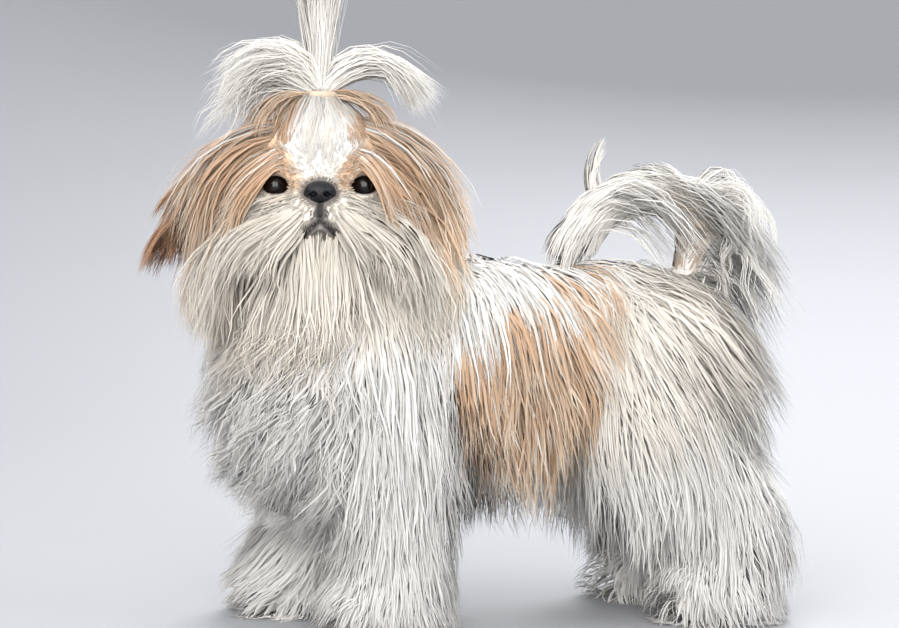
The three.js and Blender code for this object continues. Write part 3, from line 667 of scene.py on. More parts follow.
# Eyes: a ball that bulges in front, dark brown round a wide pupil
def eye(side):
    rows, cols = 44, 56
    a, b = grid_of(np.linspace(0, np.pi, rows), np.linspace(0, 2 * np.pi, cols, endpoint=False))
    radius = EYE_R - 0.15 + 0.55 * smooth(0.75, 0.2, a)
    way = np.stack([np.sin(a) * np.cos(b), np.cos(a), np.sin(a) * np.sin(b)], 1)
    iris = mix(vec(0.009, 0.005, 0.004), vec(0.006, 0.003, 0.002), smooth(0.45, 0.75, a)[:, None])
    iris = iris * (1 + 0.25 * np.sin(b * 23) * smooth(0.3, 0.5, a))[:, None]
    colours = mix(vec(0.004, 0.003, 0.003), iris, smooth(0.34, 0.42, a)[:, None])
    colours = mix(colours, vec(0.03, 0.02, 0.016), smooth(0.95, 1.15, a)[:, None])
    name = "eye_left" if side == LEFT else "eye_right"
    points = way * radius[:, None] @ HEAD_AXES + eye_at(side)
    ball = mesh_object(f"{name}_ball", points, grid_quads(rows, cols), colours, wet, "eye")
    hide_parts(name)


eye(LEFT)
eye(RIGHT)

# Band round the foot of the topknot
BAND = on_head(0, -50, NOSE_HEIGHT + 62)
BAND_R = 10


def band():
    turns, sides = 48, 12
    a, b = grid_of(*[np.linspace(0, 2 * np.pi, n, endpoint=False) for n in (turns, sides)])
    ring = BAND_R + 2.2 * np.cos(b) + 0.25 * np.cos(9 * a)
    points = BAND + np.stack([ring * np.cos(a), ring * np.sin(a), 2.6 * np.sin(b)], 1)
    quads = grid_quads(turns, sides, rolled=True)
    made = mesh_object("band", points, quads, np.tile(BAND_COLOUR, (len(points), 1)), elastic, "band")
    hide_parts("hair_band")


band()


# Hair. Roots are drawn over the skin, by area and a weight.
def face_facts(points, quads):
    corners = points[quads]
    normal = np.cross(corners[:, 2] - corners[:, 0], corners[:, 3] - corners[:, 1])
    area = np.linalg.norm(normal, axis=1) / 2
    return corners, corners.mean(1), unit(normal), area


def sow(count, surface, weight):
    corners, middle, normal, area = surface
    share = area * np.clip(weight(middle, normal), 0, None)
    pick = rng.choice(len(share), count, p=share / share.sum())
    u, v = rng.random((2, count, 1))
    c = corners[pick]
    return mix(mix(c[:, 0], c[:, 1], u), mix(c[:, 3], c[:, 2], u), v)


def drift(roots, size, reach):
    """Small turns, alike in neighbouring hairs and different from lock to lock, and some of each's own."""
    phase = 2 * np.pi * rng.random((4, 3))
    way = unit(rng.normal(size=(4, 3)))
    shared = sum(np.sin((roots @ way[k])[:, None] / size * (1 + 0.4 * k) + phase[k]) for k in range(4)) / 2
    return reach * (0.8 * shared + 0.45 * rng.normal(size=roots.shape))


def grow(roots, long, heading, lift, bones, steps, stray=0.16):
    """Courses of hair and the ways out of the flesh along them.

    Each goes by heading(p, t), and rises to a height of `lift` above the flesh.
    """
    path = [roots]
    outward = []
    p = roots
    turns = drift(roots, 6, stray)
    for i in range(1, steps + 1):
        t = i / steps
        p = p + unit(unit(heading(p, (i - 0.5) / steps)) + turns) * (long / steps)[:, None]
        here, rise = slope(lambda q: from_skin(bones, q), p, 1.0)
        outward.append(unit(rise))
        p = p + outward[-1] * np.maximum(lift * math.sqrt(t) - here, 0)[:, None]
        p = np.concatenate([p[:, :2], np.maximum(p[:, 2:], 1.2)], 1)
        path.append(p)
    return np.stack(path, 1), np.stack([outward[0], *outward], 1)


def gathered(paths, spacing, strength, share=1.0, loose=0.06):
    """Draws hairs together toward the tips of a few of them, so that they hang in locks."""
    count = len(paths)
    roots = paths[:, 0]
    guides = rng.choice(count, max(3, int(count / spacing)), replace=False)
    tree = kdtree.KDTree(len(guides))
    for i, g in enumerate(guides):
        tree.insert(roots[g], i)
    tree.balance()
    lead = guides[np.array([tree.find(r)[1] for r in roots])]
    t = np.linspace(0, 1, paths.shape[1])[None, :, None]
    hold = strength * mix(0.5, 1.1, rng.random(count))
    hold[rng.random(count) < loose] = 0.1
    hold = np.clip(hold * share, 0, 1)[:, None, None] * smooth(0, 0.75, t)
    aside = (roots - roots[lead])[:, None]
    target = paths[lead] + aside * (1 - 0.85 * hold)
    return mix(paths, target, hold), lead


def waved(paths, lead, size, length, own=0.25):
    """Waves along the hair, alike within a lock."""
    ahead = unit(np.gradient(paths, axis=1))
    aside = unit(np.cross(ahead, UP + 0.01))
    over = np.cross(aside, ahead)
    step = np.linalg.norm(np.diff(paths, axis=1), axis=2)
    run = np.concatenate([np.zeros((len(paths), 1)), np.cumsum(step, 1)], 1)
    count = len(paths)
    phase = (2 * np.pi * rng.random(count))[lead] + scatter(np.pi * own, count)
    pitch = (length * mix(0.75, 1.35, rng.random(count)))[lead]
    swing = 2 * np.pi * run / pitch[:, None] + phase[:, None]
    reach = (size * mix(0.4, 1.3, rng.random(count)))[lead][:, None] * np.linspace(0, 1, paths.shape[1])
    moved = paths + aside * (reach * (np.sin(swing) - np.sin(phase)[:, None]))[..., None]
    return moved + over * (0.6 * reach * (np.cos(swing) - np.cos(phase)[:, None]))[..., None]


def locked(paths, locks, wave, wide):
    """Courses drawn into locks and waved, with each tuft's half width."""
    paths, lead = gathered(paths, *locks)
    return waved(paths, lead, *wave), wide * mix(0.65, 1.25, rng.random(len(paths)))


# Each tuft's patch of the chart is this large
PATCH = 0.003


def tufts(name, paths, wide, thick, chart, out, colours, replaced=(), slot="white_coat", bend=2.2, sheet=0.6,
          roll=0.5):
    """Closed, tapered tufts of three sides along their courses, each with its own patch of the chart.

    `sheet` is how far they are shaded as one sheet of coat rather than each as a round hair.
    """
    count, rings = paths.shape[0], paths.shape[1] - 1
    ahead = unit(np.gradient(paths, axis=1))
    out = out if out.ndim == 3 else np.repeat(out[:, None], rings + 1, 1)
    aside = unit(np.cross(ahead, out))
    roll = (roll * scatter(1, count))[:, None, None]
    above = np.cross(aside, ahead)
    aside, over = aside * np.cos(roll) + above * np.sin(roll), above * np.cos(roll) - aside * np.sin(roll)
    t = np.linspace(0, 1, rings + 1)[:rings]
    full = (1 - t**bend) * mix(0.7, 1, smooth(0, 0.3, t))
    a = 2 * np.pi * np.arange(3) / 3
    w = wide[:, None, None] * full[None, :, None] * np.cos(a)
    k = thick[:, None, None] * full[None, :, None] * np.sin(a)
    middle = paths[:, :rings, None]
    ring = middle + aside[:, :rings, None] * w[..., None] + over[:, :rings, None] * k[..., None]
    points = np.concatenate([ring.reshape(count, -1, 3), paths[:, rings:]], 1)
    points[..., 2] = np.maximum(points[..., 2], 0.4)
    round_it = unit(ring - middle)
    flat = np.broadcast_to(sheet, count)[:, None, None, None]
    shading = unit(out[:, :rings, None] * flat + round_it * (1 - flat)).reshape(count, -1, 3)
    shading = np.concatenate([shading, out[:, rings:]], 1).reshape(-1, 3)
    along = np.append(np.repeat(t, 3), 1.0)
    across = np.append(np.tile([0, 0.5, 1.0], rings), 0.5)
    strand = np.zeros((count, rings * 3 + 1, 3))
    strand[:, :-1, 0] = w.reshape(count, -1)
    strand[:, :, 1] = along * np.linalg.norm(np.diff(paths, axis=1), axis=2).sum(1)[:, None]
    strand[:, :, 2] = 50 * rng.random((count, 1))
    faces = [(0, 1, 2)]
    for s in range(rings - 1):
        for i in range(3):
            j = (i + 1) % 3
            p, q, r, u = s * 3 + i, s * 3 + j, s * 3 + 3 + j, s * 3 + 3 + i
            faces += [(r, q, p), (u, r, p)]
    last = (rings - 1) * 3
    faces += [(last + (i + 1) % 3, last + i, last + 3) for i in range(3)]
    per = rings * 3 + 1
    faces = (np.array(faces)[None] + per * np.arange(count)[:, None, None]).reshape(-1, 3)
    patch = PATCH * np.stack([across, along], 1)
    uv = (np.clip(chart, 0.001, 0.996)[:, None] + patch[None]).reshape(-1, 2)
    colour = colours(along).reshape(-1, 3)
    made = mesh_object(name, points.reshape(-1, 3), faces, np.clip(colour, 0, 1), hair, slot, uv,
                       custom_normal=shading, strand=strand.reshape(-1, 3))
    if replaced:
        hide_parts(*replaced)
    print(name, len(faces), "triangles")
    return made


def coloured(roots, tint=None):
    """The markings of tufts by their roots, with an optional change of tint(colour, along)."""
    chance = rng.random(len(roots))

    def at(along):
        colour = markings(roots, np.tile(along, (len(roots), 1)), chance)
        return colour if tint is None else tint(colour, along[None, :, None])

    return at


# The share of tufts that lie below the others, broad, flat and ungathered, so that no gap goes deep
UNDER = 0.32


def coat(name, roots, long, heading, lift, *, bones, steps, wide, locks, wave, chart, tint=None,
         toward=0 * UP, **named):
    """Tufts grown from roots over the flesh, in waved locks. Their shading leans `toward` a way."""
    count = len(roots)
    out = out_of(bones, roots)
    layer = rng.random(count)
    under = layer < UNDER
    lift = lift * np.where(under, mix(0.66, 0.9, layer / UNDER), mix(0.86, 1.02, layer))
    long = long * mix(0.82, 1.1, rng.random(count))
    paths, out = grow(roots - out * 1.5, long, heading, lift, bones, steps)
    out = out + toward
    out[..., 2] = np.maximum(out[..., 2], -0.1)
    out = unit(out)
    paths, lead = gathered(paths, *locks, np.where(under, 0.3, 1))
    paths = waved(paths, lead, *wave)
    width = wide * np.where(under, 2.0, mix(0.45, 0.85, rng.random(count)))
    thick = width * np.where(under, 0.13, 0.4)
    sheet = np.where(under, 0.98, 0.8)
    return tufts(name, paths, width, thick, chart(roots), out, coloured(roots, tint), sheet=sheet,
                 roll=np.where(under, 0.1, 0.5), **named)


# Charts: unwraps of the skin round the trunk, a leg, the head, an ear and the tail
def turned(a):
    return (a / (2 * np.pi)) % 1


def trunk_chart(p):
    return np.stack([turned(np.arctan2(p[:, 1], p[:, 2] - SPINE_Z) + np.pi), (p[:, 0] + 180) / 380], 1)


def leg_chart(legs):
    def chart(p):
        side = np.where(p[:, 1] < 0, 0, 1)
        u = np.zeros(len(p))
        for i, s in enumerate((LEFT, RIGHT)):
            line = np.array([legs[s][2][1], legs[s][1][1], legs[s][1][0]])
            middle = np.array([np.interp(p[:, 2], line[:, 2], line[:, k]) for k in (0, 1)]).T
            a = turned(np.arctan2(p[:, 1] - middle[:, 1], p[:, 0] - middle[:, 0]) + np.pi)
            u = np.where(side == i, 0.49 * a + 0.5 * i, u)
        return np.stack([u, p[:, 2] / 240], 1)

    return chart


def head_chart(p):
    l, f, h = head_place(p)
    q = np.stack([l, f + 52, h - 6], 1)
    round_head = turned(np.arctan2(q[:, 0], q[:, 1]) + np.pi)
    return np.stack([round_head, np.arccos(np.clip(unit(q)[:, 2], -1, 1)) / np.pi], 1)


# Body coat
whole = face_facts(skin_points, skin_quads[: len(body_quads)])


def depth_of_coat(p, n):
    """How far the tips stand off the flesh, as in the solids."""
    low = smooth(0.6, -0.7, n[:, 2])
    end = smooth(0.35, 0.95, np.abs(n[:, 0]))
    trunk = mix(mix(12, 32, low), 30, end) + 8 * smooth(-0.35, -0.95, n[:, 0])
    leg = mix(30, 20, smooth(20, 110, p[:, 2]))
    return mix(leg, trunk, smooth(80, 135, p[:, 2]))


def comb(p):
    """The way the long coat of the body hangs."""
    x, z = p[:, 0], p[:, 2]
    back = mix(-0.5, 0.05, smooth(-150, -70, x)) + mix(0, 0.5, smooth(-10, 110, x)) * smooth(70, 170, z)
    back = back - 0.28 * smooth(140, 60, z) * smooth(-60, -120, x)
    back = mix(back, 0.9, smooth(222, 262, z))
    return np.stack([back, 0.12 * np.sign(p[:, 1]) * np.ones_like(x), -np.ones_like(x)], 1)


def laid(roots, normal, start):
    """A heading that leaves the skin along the lie and hangs from a share `start` of its length on."""
    side = np.where(roots[:, 1] < 0, -1.0, 1.0)
    over = smooth(0.3, 0.95, normal[:, 2])

    def heading(p, t):
        hang = unit(comb(p))
        flow = hang + np.stack([0.35 * over, 0.55 * side * over, 0.4 * over], 1)
        flow = unit(flow - normal * dot(flow, normal)) + 0.45 * normal
        return mix(unit(flow), hang, smooth(0, start, t))

    return heading


def body_piece(name, count, weight, long, locks, wave, chart, wide, steps=5, start=0.6):
    roots = sow(count, whole, weight)
    normal = out_of(BODY, roots)
    return coat(name, roots, long(roots, normal), laid(roots, normal, start), depth_of_coat(roots, normal),
                bones=BODY, steps=steps, wide=wide, locks=locks, wave=wave, chart=chart)


def on_trunk(p):
    clear = smooth(30, 48, np.linalg.norm(p - on_head(0, -60, SKULL_Z), axis=1) - 20)
    tail_clear = smooth(8, 14, chain(TAIL_LINE[2:], 0, p))
    return smooth(92, 112, p[:, 2]) * clear * tail_clear


def trunk_long(p, n):
    return mix(74, 58, smooth(140, 110, p[:, 2])) + 10 * smooth(0.2, 0.9, n[:, 2])


def leg_long(p, n):
    return np.clip(0.78 * p[:, 2] + 8, 12, 70)


BREAST_EDGE = -92
for side, name in ((LEFT, "coat_side_left"), (RIGHT, "coat_side_right")):
    body_piece(
        name, 4850,
        lambda p, n: on_trunk(p) * (side * p[:, 1] > -1) * (p[:, 0] > BREAST_EDGE)
        * smooth(-1.1, -0.7, n[:, 2]),
        trunk_long, (18, 0.66), (2.8, 62), trunk_chart, 0.738,
    )
body_piece(
    "coat_breast", 4500, lambda p, n: on_trunk(p) * (p[:, 0] <= BREAST_EDGE) * smooth(300, 270, p[:, 2]),
    lambda p, n: mix(66, 78, smooth(150, 220, p[:, 2])), (13, 0.8), (8, 36), trunk_chart, 0.697, steps=6,
)
for legs, name, count in ((FORELEGS, "coat_forelegs", 3800), (HINDLEGS, "coat_hindlegs", 4100)):
    body_piece(
        name, count,
        lambda p, n: (p[:, 2] < 112) * ((p[:, 0] < 20) == (legs is FORELEGS)) * smooth(1, 8, p[:, 2])
        * mix(1, 0.8, smooth(60, 110, p[:, 2])),
        leg_long, (15, 0.7), (2.2, 50), leg_chart(legs), 0.738, start=0.9,
    )

# Head coat
EYES = [bone(eye_at(s), eye_at(s) + FACING * 0.01, EYE_R + 0.6) for s in (LEFT, RIGHT)]
HEAD_FLESH = [*SKULL, *EYES]
WITH_CHEST = [*HEAD_FLESH, *NECK, *TRUNK]
head_skin = face_facts(skin_points, skin_quads[: len(body_quads) + len(face_quads)])


def off_features(p):
    """1 on the head's skin that carries hair, and 0 on the eyes, the nose and the lips."""
    clear = np.ones(len(p))
    for side in (LEFT, RIGHT):
        almond, ahead = eye_opening(side, p)
        off_ball = np.linalg.norm(p - eye_at(side), axis=1) > EYE_R + 0.8
        clear = clear * ((almond > 0.9) | (ahead < -1)) * off_ball
    q = (p - NOSE_MIDDLE) @ HEAD_AXES.T
    clear = clear * (nose_form(q) > 1.2) * (lip_gap(p) > 2.0)
    return clear * (np.linalg.norm(p - on_head(0, -56, SKULL_Z), axis=1) < 74)


def head_piece(name, count, weight, long, way, lift, *, bones=HEAD_FLESH, **named):
    """A piece of the head's coat. weight, long and way are given in the head's own places."""
    def weight_at(p, n):
        place = head_place(p)
        return weight(*place, np.abs(place[0])) * off_features(p)

    roots = sow(count, head_skin, weight_at)
    l = head_place(roots)[0]
    side = np.where(l < 0, -1.0, 1.0)
    pick = rng.random(count)

    def heading(p, t):
        return head_way(*way(side, *head_place(p), l, t, pick))

    reach = (long(l) if callable(long) else long) * np.ones(count)
    return coat(name, roots, reach, heading, np.full(count, float(lift)), bones=bones, chart=head_chart,
                toward=0.45 * FACING + 0.2 * UP, **named)


# Short hair of the muzzle and round the eyes lies away from the nose
def short_coat(count):
    def weight(p, n):
        _, f, h = head_place(p)
        by_nose = mix(1.6, 0.8, smooth(10, 40, np.linalg.norm(p - NOSE_MIDDLE, axis=1)))
        return off_features(p) * (f > -62) * smooth(-36, -30, h) * smooth(30, 22, h) * by_nose

    roots = sow(count, head_skin, weight)
    away = roots - on_head(0, -12, NOSE_HEIGHT + 1)
    far = np.linalg.norm(away, axis=1)
    openings = [eye_opening(side, roots) for side in (LEFT, RIGHT)]
    near_eye = np.min([np.where(ahead > -6, almond, 30) for almond, ahead in openings], axis=0)
    long = mix(2.6, 15, smooth(8, 44, far)) * mix(0.4, 1, smooth(0, 9, near_eye))
    long = long * mix(0.5, 1, smooth(1, 9, lip_gap(roots)))
    normal = out_of(HEAD_FLESH, roots)
    flow = away - normal * dot(away, normal)
    flow = unit(unit(flow) + [0, 0, -0.15]) + 0.3 * normal

    def tint(colour, along):
        lips = smooth(7.5, 3.5, lip_gap(roots))[:, None, None]
        beside = smooth(14.5, 11, np.linalg.norm(roots - NOSE_MIDDLE, axis=1))[:, None, None]
        colour = mix(colour, CREAM * 0.8, 0.5 * beside)
        return mix(0.78 * colour, LIP_HAIR, 0.93 * lips * (1 - 0.22 * along))

    return coat("coat_face", roots, long, lambda p, t: flow, np.full(count, 2.2), bones=HEAD_FLESH,
                steps=3, wide=0.42, locks=(7, 0.45), wave=(0.3, 12), chart=head_chart, tint=tint)


short_coat(4200)


# Hair of the forehead and crown, drawn up into the band, darkened as painted shade where it faces the lamps
def pulled_coat(count):
    def weight(p, n):
        l, f, h = head_place(p)
        wide = np.abs(l)
        front = smooth(mix(7, 21, smooth(7, 16, wide)), mix(11, 25, smooth(7, 16, wide)), h)
        return front * smooth(37, 30, wide) * (f > -104) * off_features(p)

    roots = sow(count, head_skin, weight)
    a = np.arctan2(roots[:, 1] - BAND[1], roots[:, 0] - BAND[0]) + scatter(0.35, count)
    ring = (BAND_R - 2.5) * rng.random(count) ** 0.3
    aim = BAND + np.stack([ring * np.cos(a), ring * np.sin(a), scatter(2, count) + 2], 1)
    long = np.linalg.norm(aim - roots, axis=1) * 1.06
    lift = mix(3, 8, smooth(55, 20, long))
    # The crown's colour is scaled to 0.84: painted shade, as the crown faces the lamps straight on
    return coat("coat_crown", roots, long, lambda p, t: aim - p, lift, bones=HEAD_FLESH, steps=5, wide=0.7,
                locks=(10, 0.3), wave=(0.8, 40), chart=head_chart, bend=5,
                tint=lambda colour, along: 0.84 * colour)


pulled_coat(1900)


def sweep(start, end, first, last):
    """A way that is `first` until hair comes out past `start` to its side, and `last` past `end`."""
    def way(side, l, f, h, l0, t, pick):
        near = mix(0.5, 1.08, pick)
        down = np.maximum(smooth(start * near, end * near, np.abs(l)), smooth(0.55, 1.0, t))
        across, ahead, up = [mix(a, b, down) for a, b in zip(first, last)]
        return side * across, ahead, up

    return way


def oval(outward, wide, tall, middle):
    """A way round an upright oval, from its top down its side, that opens outward at first."""
    def way(side, l, f, h, l0, t, pick):
        x, z = np.abs(l) / wide**2, (h - middle) / tall**2
        size = np.hypot(x, z) + 1e-9
        x, z = x / size, z / size
        open_it = outward * mix(1.0, -0.25, t) * mix(0.45, 1.15, pick)
        return side * (z + x * open_it), 0.12 * (1 - t), -x + z * open_it - 0.35 * t

    return way


def warmed(share):
    """Turns most tufts of a piece tan, and leaves the rest pale."""
    def tint(colour, along):
        pick = (rng.random(colour.shape[0]) < share)[:, None, None]
        tan = mix(TAN, CREAM, 0.35 * smooth(0.5, 1, along))
        return np.where(pick, mix(colour, tan, 0.85), colour)

    return tint


# The side hair falls from the band round this oval
SIDE_OVAL = (92, 106, -45)


def moustache_way(side, l, f, h, l0, t, pick):
    across = mix(1, 0.12, np.maximum(smooth(30, 86, np.abs(l) + 18 * pick), smooth(0.5, 1, t)))
    down = mix(-0.5, -1, np.maximum(smooth(26, 74, np.abs(l)), smooth(0.4, 1, t)))
    return side * across * mix(0.35, 1, smooth(6, 20, np.abs(l0))), mix(0.35, 0.0, smooth(0, 0.5, t)), down


def hanging(splay, first, last, ease):
    """A way down, splayed by the root's place, that leans forward by first and at its end by last."""
    def way(side, l, f, h, l0, t, pick):
        return splay * l0, mix(first, last, ease(t)), -1

    return way


head_piece(
    "coat_brows", 1300,
    lambda l, f, h, w: smooth(0, 3, h - mix(14.5, 5, smooth(28, 44, w))) * smooth(32, 26, h)
    * smooth(17, 22, w) * smooth(50, 44, w) * (f > -60),
    lambda l: mix(56, 78, smooth(15, 36, np.abs(l))), oval(0.06, *SIDE_OVAL), 7,
    locks=(16, 0.5), wave=(2.4, 60), wide=0.6, steps=6, tint=warmed(0.6),
)
head_piece(
    "coat_under_eyes", 1100,
    lambda l, f, h, w: smooth(-16, -10, h) * smooth(1, -4, h - 0.1 * w - 12 * smooth(36, 42, w))
    * smooth(12, 18, w) * smooth(52, 46, w) * (f > -78),
    lambda l: mix(18, 46, smooth(14, 34, np.abs(l))), sweep(50, 80, (1, 0.1, -0.4), (0.2, 0, -1)), 5,
    locks=(12, 0.5), wave=(1.6, 62), wide=0.55, steps=4,
)
head_piece(
    "coat_moustache", 2100,
    lambda l, f, h, w: smooth(-27, -23, h) * smooth(-5, -11, h) * smooth(8, 13, w) * smooth(38, 32, w)
    * (f > -40),
    lambda l: mix(48, 92, smooth(8, 26, np.abs(l))), moustache_way, 11,
    locks=(14, 0.7), wave=(2.8, 52), wide=0.7, steps=6,
)
head_piece(
    "coat_cheeks", 1800,
    lambda l, f, h, w: smooth(26, 33, w) * smooth(-40, -32, h) * smooth(6, 0, h) * (f > -80),
    96, sweep(38, 100, (1, 0.1, -0.45), (0.1, 0, -1)), 22,
    locks=(14, 0.7), wave=(3, 56), wide=0.8, steps=6, bones=WITH_CHEST,
)
head_piece(
    "coat_throat", 1900, lambda l, f, h, w: smooth(-24, -34, h) * smooth(-34, -44, f) * (f > -104),
    62, hanging(0.006, 0.3, 0.05, lambda t: t), 25,
    locks=(14, 0.6), wave=(3, 44), wide=0.95, steps=4, bones=WITH_CHEST,
)
head_piece(
    "coat_beard", 2000, lambda l, f, h, w: smooth(-23, -28, h) * smooth(46, 36, w) * (f > -60),
    76, hanging(0.011, 0.6, 0.05, lambda t: smooth(0, 0.5, t)), 17,
    locks=(15, 0.6), wave=(3.4, 48), wide=0.68, steps=5, bones=WITH_CHEST,
)
head_piece(
    "coat_temples", 2350, lambda l, f, h, w: smooth(28, 34, w) * smooth(-4, 4, h) * (f < -34) * (f > -96),
    84, oval(0.12, *SIDE_OVAL), 21,
    locks=(16, 0.55), wave=(3, 60), wide=0.75, steps=5, bones=WITH_CHEST, tint=warmed(0.4),
)
head_piece(
    "coat_curtains", 1750,
    lambda l, f, h, w: smooth(26, 36, h) * smooth(0, 6, w - mix(29, 19, smooth(30, 54, h)))
    * (f < -34) * (f > -92),
    100, oval(0.14, *SIDE_OVAL), 16,
    locks=(16, 0.55), wave=(3, 66), wide=0.7, steps=6, bones=WITH_CHEST, tint=warmed(0.6),
)
head_piece(
    "coat_nape", 1400, lambda l, f, h, w: smooth(-78, -90, f) * smooth(44, 34, h),
    72, hanging(0.01, -0.7, -0.15, lambda t: smooth(0, 0.6, t)), 22,
    locks=(15, 0.7), wave=(2.5, 60), wide=0.9, steps=4, bones=WITH_CHEST,
)


# Ears: hair down both faces of each leaf
def ear_coat(side, count, name, node, reach):
    t = rng.random(count) ** 0.8
    across = scatter(0.92, count)
    at, down, fore, out = ear_frame(side, t)
    outer = np.where(rng.random(count) < 0.75, 1.0, -1.0)[:, None]
    off_leaf = 1.5 * outer - EAR_CUP * (across**2)[:, None]
    roots = at + fore * (EAR_HALF_WIDTH * across)[:, None] + out * off_leaf
    splay = fore * (0.25 * across)[:, None]

    def heading(p, s):
        first = down + 0.5 * out * outer
        last = down * 0.7 - UP * 0.8 + 0.06 * out
        return mix(first, last, smooth(0, 0.5, s)) + splay

    paths, _ = grow(roots, mix(*reach, rng.random(count)), heading, np.zeros(count), WITH_CHEST, 5)
    paths, width = locked(paths, (14, 0.65), (3, 50), 0.85)
    face_of_leaf = outer[:, 0]
    chart = np.stack([0.62 + 0.24 * across * face_of_leaf + 0.125 * (face_of_leaf - 1), 0.05 + 0.9 * t], 1)
    red = 0.85 if side == RIGHT else 0.25

    def tint(colour, along):
        warm = mix(TAN, RED, red * smooth(0.2, 0.9, t[:, None, None] * 0.6 + 0.5 * along))
        return mix(warm * mix(0.85, 1.1, shade), CREAM, 0.35 * light * smooth(0.3, 1, along))

    shade = rng.random(count)[:, None, None]
    light = (rng.random(count) < 0.3)[:, None, None]
    tufts(name, paths, width, width * 0.4, chart, out * outer, coloured(roots, tint), (node,), "tan_coat")


ear_coat(LEFT, 1050, "coat_ear_left", "ear_left", (44, 60))
ear_coat(RIGHT, 1050, "coat_ear_right", "ear_right", (34, 46))


# Topknot
KNOT_R = 5.5


def knot_coat(name, count, start, end, side, long, node, colour, *, wide, fan=0.4, wave=(1.5, 50),
              locks=(16, 0.75), steps=7, stray=0.05, spread=0):
    """Hair out of the band, leaning from `start` to `end` degrees off upright, to one side or all round."""
    a = 2 * np.pi * rng.random(count)
    r = KNOT_R * np.sqrt(rng.random(count))
    ring = head_way(np.cos(a), np.sin(a), 0 * a)
    roots = BAND + ring * r[:, None] + UP * (scatter(1.5, count)[:, None] - 1)
    first = np.radians(start + scatter(9, count) + spread * rng.random(count))
    last = np.radians(end + scatter(22, count))
    lean = scatter(fan, count)

    def heading(p, t):
        angle = mix(first, last, smooth(0, 1, t))
        if not side:
            return ring * (np.sin(angle) * r / KNOT_R)[:, None] + UP
        return head_way(side * np.sin(angle), lean * np.sin(angle), np.cos(angle))

    long = long * mix(0.72, 1.05, rng.random(count))
    paths, _ = grow(roots, long, heading, np.zeros(count), HEAD_FLESH, steps, stray)
    paths, width = locked(paths, locks, wave, wide)
    chart = 0.5 + 0.3 * (r / KNOT_R)[:, None] * np.stack([np.cos(a), np.sin(a)], 1)
    chance = mix(0.9, 1.04, rng.random(count))[:, None, None]

    def colours(along):
        return colour(count)[:, None] * chance * np.ones((1, len(along), 1))

    over = unit(0.5 * ring + UP + 0.7 * FACING + 0.5 * side * FACE_LEFT) if side else ring
    tufts(name, paths, width, width * 0.5, chart, over, colours, (node,) if node else ())


def white_knot(count):
    return mix(WHITE, CREAM, 0.35 * rng.random((count, 1)))


def tan_knot(count):
    return mix(CREAM, TAN, rng.random((count, 1)) ** 0.6)


knot_coat("coat_topknot", 1000, 2, 5, 0, 98, "topknot", white_knot, wide=0.48, steps=5, wave=(2.2, 60))
knot_coat("coat_fall_left", 850, 24, 148, 1, 100, "topknot_fall_left", white_knot, wide=0.55, fan=0.3,
          spread=26, locks=(160, 0.8))
knot_coat("coat_fall_right", 680, 14, 150, -1, 94, "topknot_fall_right", white_knot, wide=0.5, fan=0.6,
          spread=56, locks=(9, 0.85), wave=(5, 44), stray=0.2)
knot_coat("coat_loop_left", 150, 80, 176, 1, 70, None, tan_knot, wide=0.5, fan=0.3)
knot_coat("coat_loop_right", 150, 80, 170, -1, 66, None, tan_knot, wide=0.5, fan=0.5)


# Tail: hair along it, a plume behind its foot, and a curl near its end
def tail_frame(s):
    at, ahead = along_curve(TAIL_KNOTS, 61, s)
    across = unit(vec(0, 1, 0) - ahead[:, 1:2] * ahead)
    return at, ahead, across, np.cross(ahead, across)


def tail_coat(name, count, span, long, way, locks, wave, wide, steps, nodes=(), arc=np.pi, lift=0.0, tan=0.5):
    """Hair from a span of the tail's length and an arc round it, counted from its inner side."""
    s = mix(span[0], span[1], rng.random(count))
    a = scatter(arc, count)
    at, ahead, across, out = tail_frame(s)
    away = -out * np.cos(a)[:, None] + across * np.sin(a)[:, None]
    roots = at + away * (TAIL_R - 0.5)
    lift = lift * rng.random(count)
    long = long * mix(0.75, 1.1, rng.random(count))
    paths, out = grow(roots, long, way(ahead, away, across * np.sin(a)[:, None], s), lift, TAIL, steps)
    paths, width = locked(paths, locks, wave, wide)
    sheet_way = unit(0.5 * out + (0.8 * across * np.sign(a)[:, None] + 0.4 * UP)[:, None])
    share = (tan * smooth(0.5, 0.3, s) * smooth(0.3, 1.0, -np.cos(a) + 0.6))[:, None, None]
    chance = mix(0.92, 1.04, rng.random(count))[:, None, None]

    def colours(along):
        warm = mix(TAN, CREAM, smooth(0.2, 0.9, along)[None, :, None])
        return mix(mix(WHITE, CREAM, 0.2 * chance), warm, share) * chance

    chart = np.stack([(a / (2 * np.pi) + 0.5) * 0.98, 0.03 + 0.93 * s], 1)
    tufts(name, paths, width, width * 0.4, chart, sheet_way, colours, nodes, sheet=0.8)


def along_tail(ahead, away, aside, s):
    fall = smooth(0.6, 1.0, s)[:, None]

    def heading(p, t):
        return ahead * mix(1, 0.5, t) + away * mix(0.3, 0.0, smooth(0, 0.5, t)) - UP * (0.3 + 0.9 * fall) * t

    return heading


def curl_of_tail(ahead, away, aside, s):
    return lambda p, t: UP + ahead * mix(0.7, -0.9, t) + 0.1 * away


def behind_tail(ahead, away, aside, s):
    back = vec(1, 0, 0)
    first = 0.8 * away + 0.6 * back + 0.5 * UP
    last = 0.15 * back + 0.35 * aside - UP * 1.1
    return lambda p, t: mix(first, last, smooth(0.05, 0.8, t))


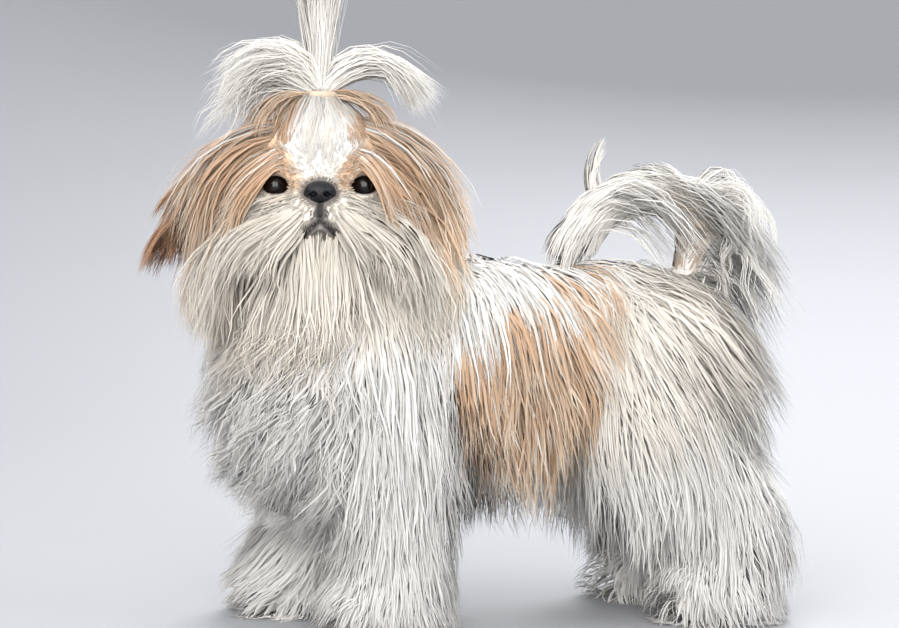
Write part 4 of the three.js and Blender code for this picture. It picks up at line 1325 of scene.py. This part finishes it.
tail_coat("coat_tail", 2500, (0.02, 1.0), 36, along_tail, (13, 0.55), (1.8, 40), 0.75, 4,
          ("tail_base", "tail_plume"), lift=4, tan=0.75)
tail_coat("coat_tail_plume", 1000, (0, 0.34), 38, behind_tail, (12, 0.75), (6, 44), 0.6, 7, arc=1.5, tan=0.25)
tail_coat("coat_tail_wisps", 400, (0.05, 0.46), 80, behind_tail, (10, 0.92), (7, 60), 0.42, 10, arc=1.2,
          tan=0.1)
tail_coat("coat_tail_curl", 90, (0.80, 0.86), 40, curl_of_tail, (40, 0.9), (1, 60), 0.4, 8, arc=0.6, tan=0)


# Studio: a pale floor, soft lights and the photo's camera
CAMERA_TURN = math.radians(-12)
CAMERA_FAR = 1500
CAMERA_HIGH = 280
FOCAL_PIXELS = 2273
PICTURE_WIDTH = 899
HORIZON_ABOVE_MIDDLE = 120
RIGHTWARD = vec(math.cos(CAMERA_TURN), math.sin(CAMERA_TURN), 0)
FORWARD = vec(-math.sin(CAMERA_TURN), math.cos(CAMERA_TURN), 0)
AXIS_LEFT = 20.1

camera = bpy.data.objects.new("camera", bpy.data.cameras.new("camera"))
bpy.context.collection.objects.link(camera)
bpy.context.scene.camera = camera
camera.data.sensor_width = 36
camera.data.lens = 36 * FOCAL_PIXELS / PICTURE_WIDTH
camera.location = in_frame(-RIGHTWARD * AXIS_LEFT - FORWARD * CAMERA_FAR + UP * CAMERA_HIGH)
look = Vector(FORWARD * FOCAL_PIXELS - UP * HORIZON_ABOVE_MIDDLE)
camera.rotation_euler = look.to_track_quat("-Z", "Y").to_euler()


def lamp(name, at, size, power, tone=(1, 1, 1)):
    light = bpy.data.lights.new(name, "AREA")
    light.size = size
    light.energy = power
    light.color = tone
    holder = bpy.data.objects.new(name, light)
    holder.location = at
    holder.rotation_euler = (Vector((0, 0, 0.2)) - Vector(at)).to_track_quat("-Z", "Y").to_euler()
    bpy.context.collection.objects.link(holder)


lamp("front", (-0.45, -1.8, 0.85), 1.5, 54, (1, 0.99, 0.975))
lamp("key", (-1.5, -1.2, 1.7), 1.6, 26, (1, 0.985, 0.96))
lamp("fill", (1.9, -1.0, 0.9), 1.8, 28, (0.97, 0.985, 1))
lamp("back", (0.9, 1.6, 1.6), 1.6, 60)

world = bpy.data.worlds.new("studio")
bpy.context.scene.world = world
world.use_nodes = True
world.node_tree.nodes["Background"].inputs["Color"].default_value = (0.86, 0.87, 0.90, 1)
world.node_tree.nodes["Background"].inputs["Strength"].default_value = 1.75
bpy.context.scene.view_settings.view_transform = "Standard"

# The floor runs level, then curves up into a pale wall all round
FLAT, CURVE, WALL = 1.3, 2.4, 3.4
rise = np.linspace(0, np.pi / 2, 13)
radii = np.concatenate([FLAT + CURVE * np.sin(rise), [FLAT + CURVE]])
levels = np.concatenate([CURVE * (1 - np.cos(rise)), [WALL]])
turns = 96
around = np.linspace(0, 2 * np.pi, turns, endpoint=False)
sweep_points = [(r * math.cos(a), r * math.sin(a), z) for r, z in zip(radii, levels) for a in around]
rings_at = [(i * turns + j, i * turns + (j + 1) % turns) for i in range(len(radii) - 1) for j in range(turns)]
sweep_faces = [tuple(range(turns))] + [(b, a, a + turns, b + turns) for a, b in rings_at]
floor_mesh = bpy.data.meshes.new("floor")
floor_mesh.from_pydata(sweep_points, [], sweep_faces)
floor_mesh.shade_smooth()
floor = bpy.data.objects.new("floor", floor_mesh)
bpy.context.collection.objects.link(floor)
paint = bpy.data.materials.new("floor")
paint.use_nodes = True
paint.node_tree.nodes["Principled BSDF"].inputs["Base Color"].default_value = (0.30, 0.305, 0.32, 1)
paint.node_tree.nodes["Principled BSDF"].inputs["Roughness"].default_value = 0.7
floor.data.materials.append(paint)
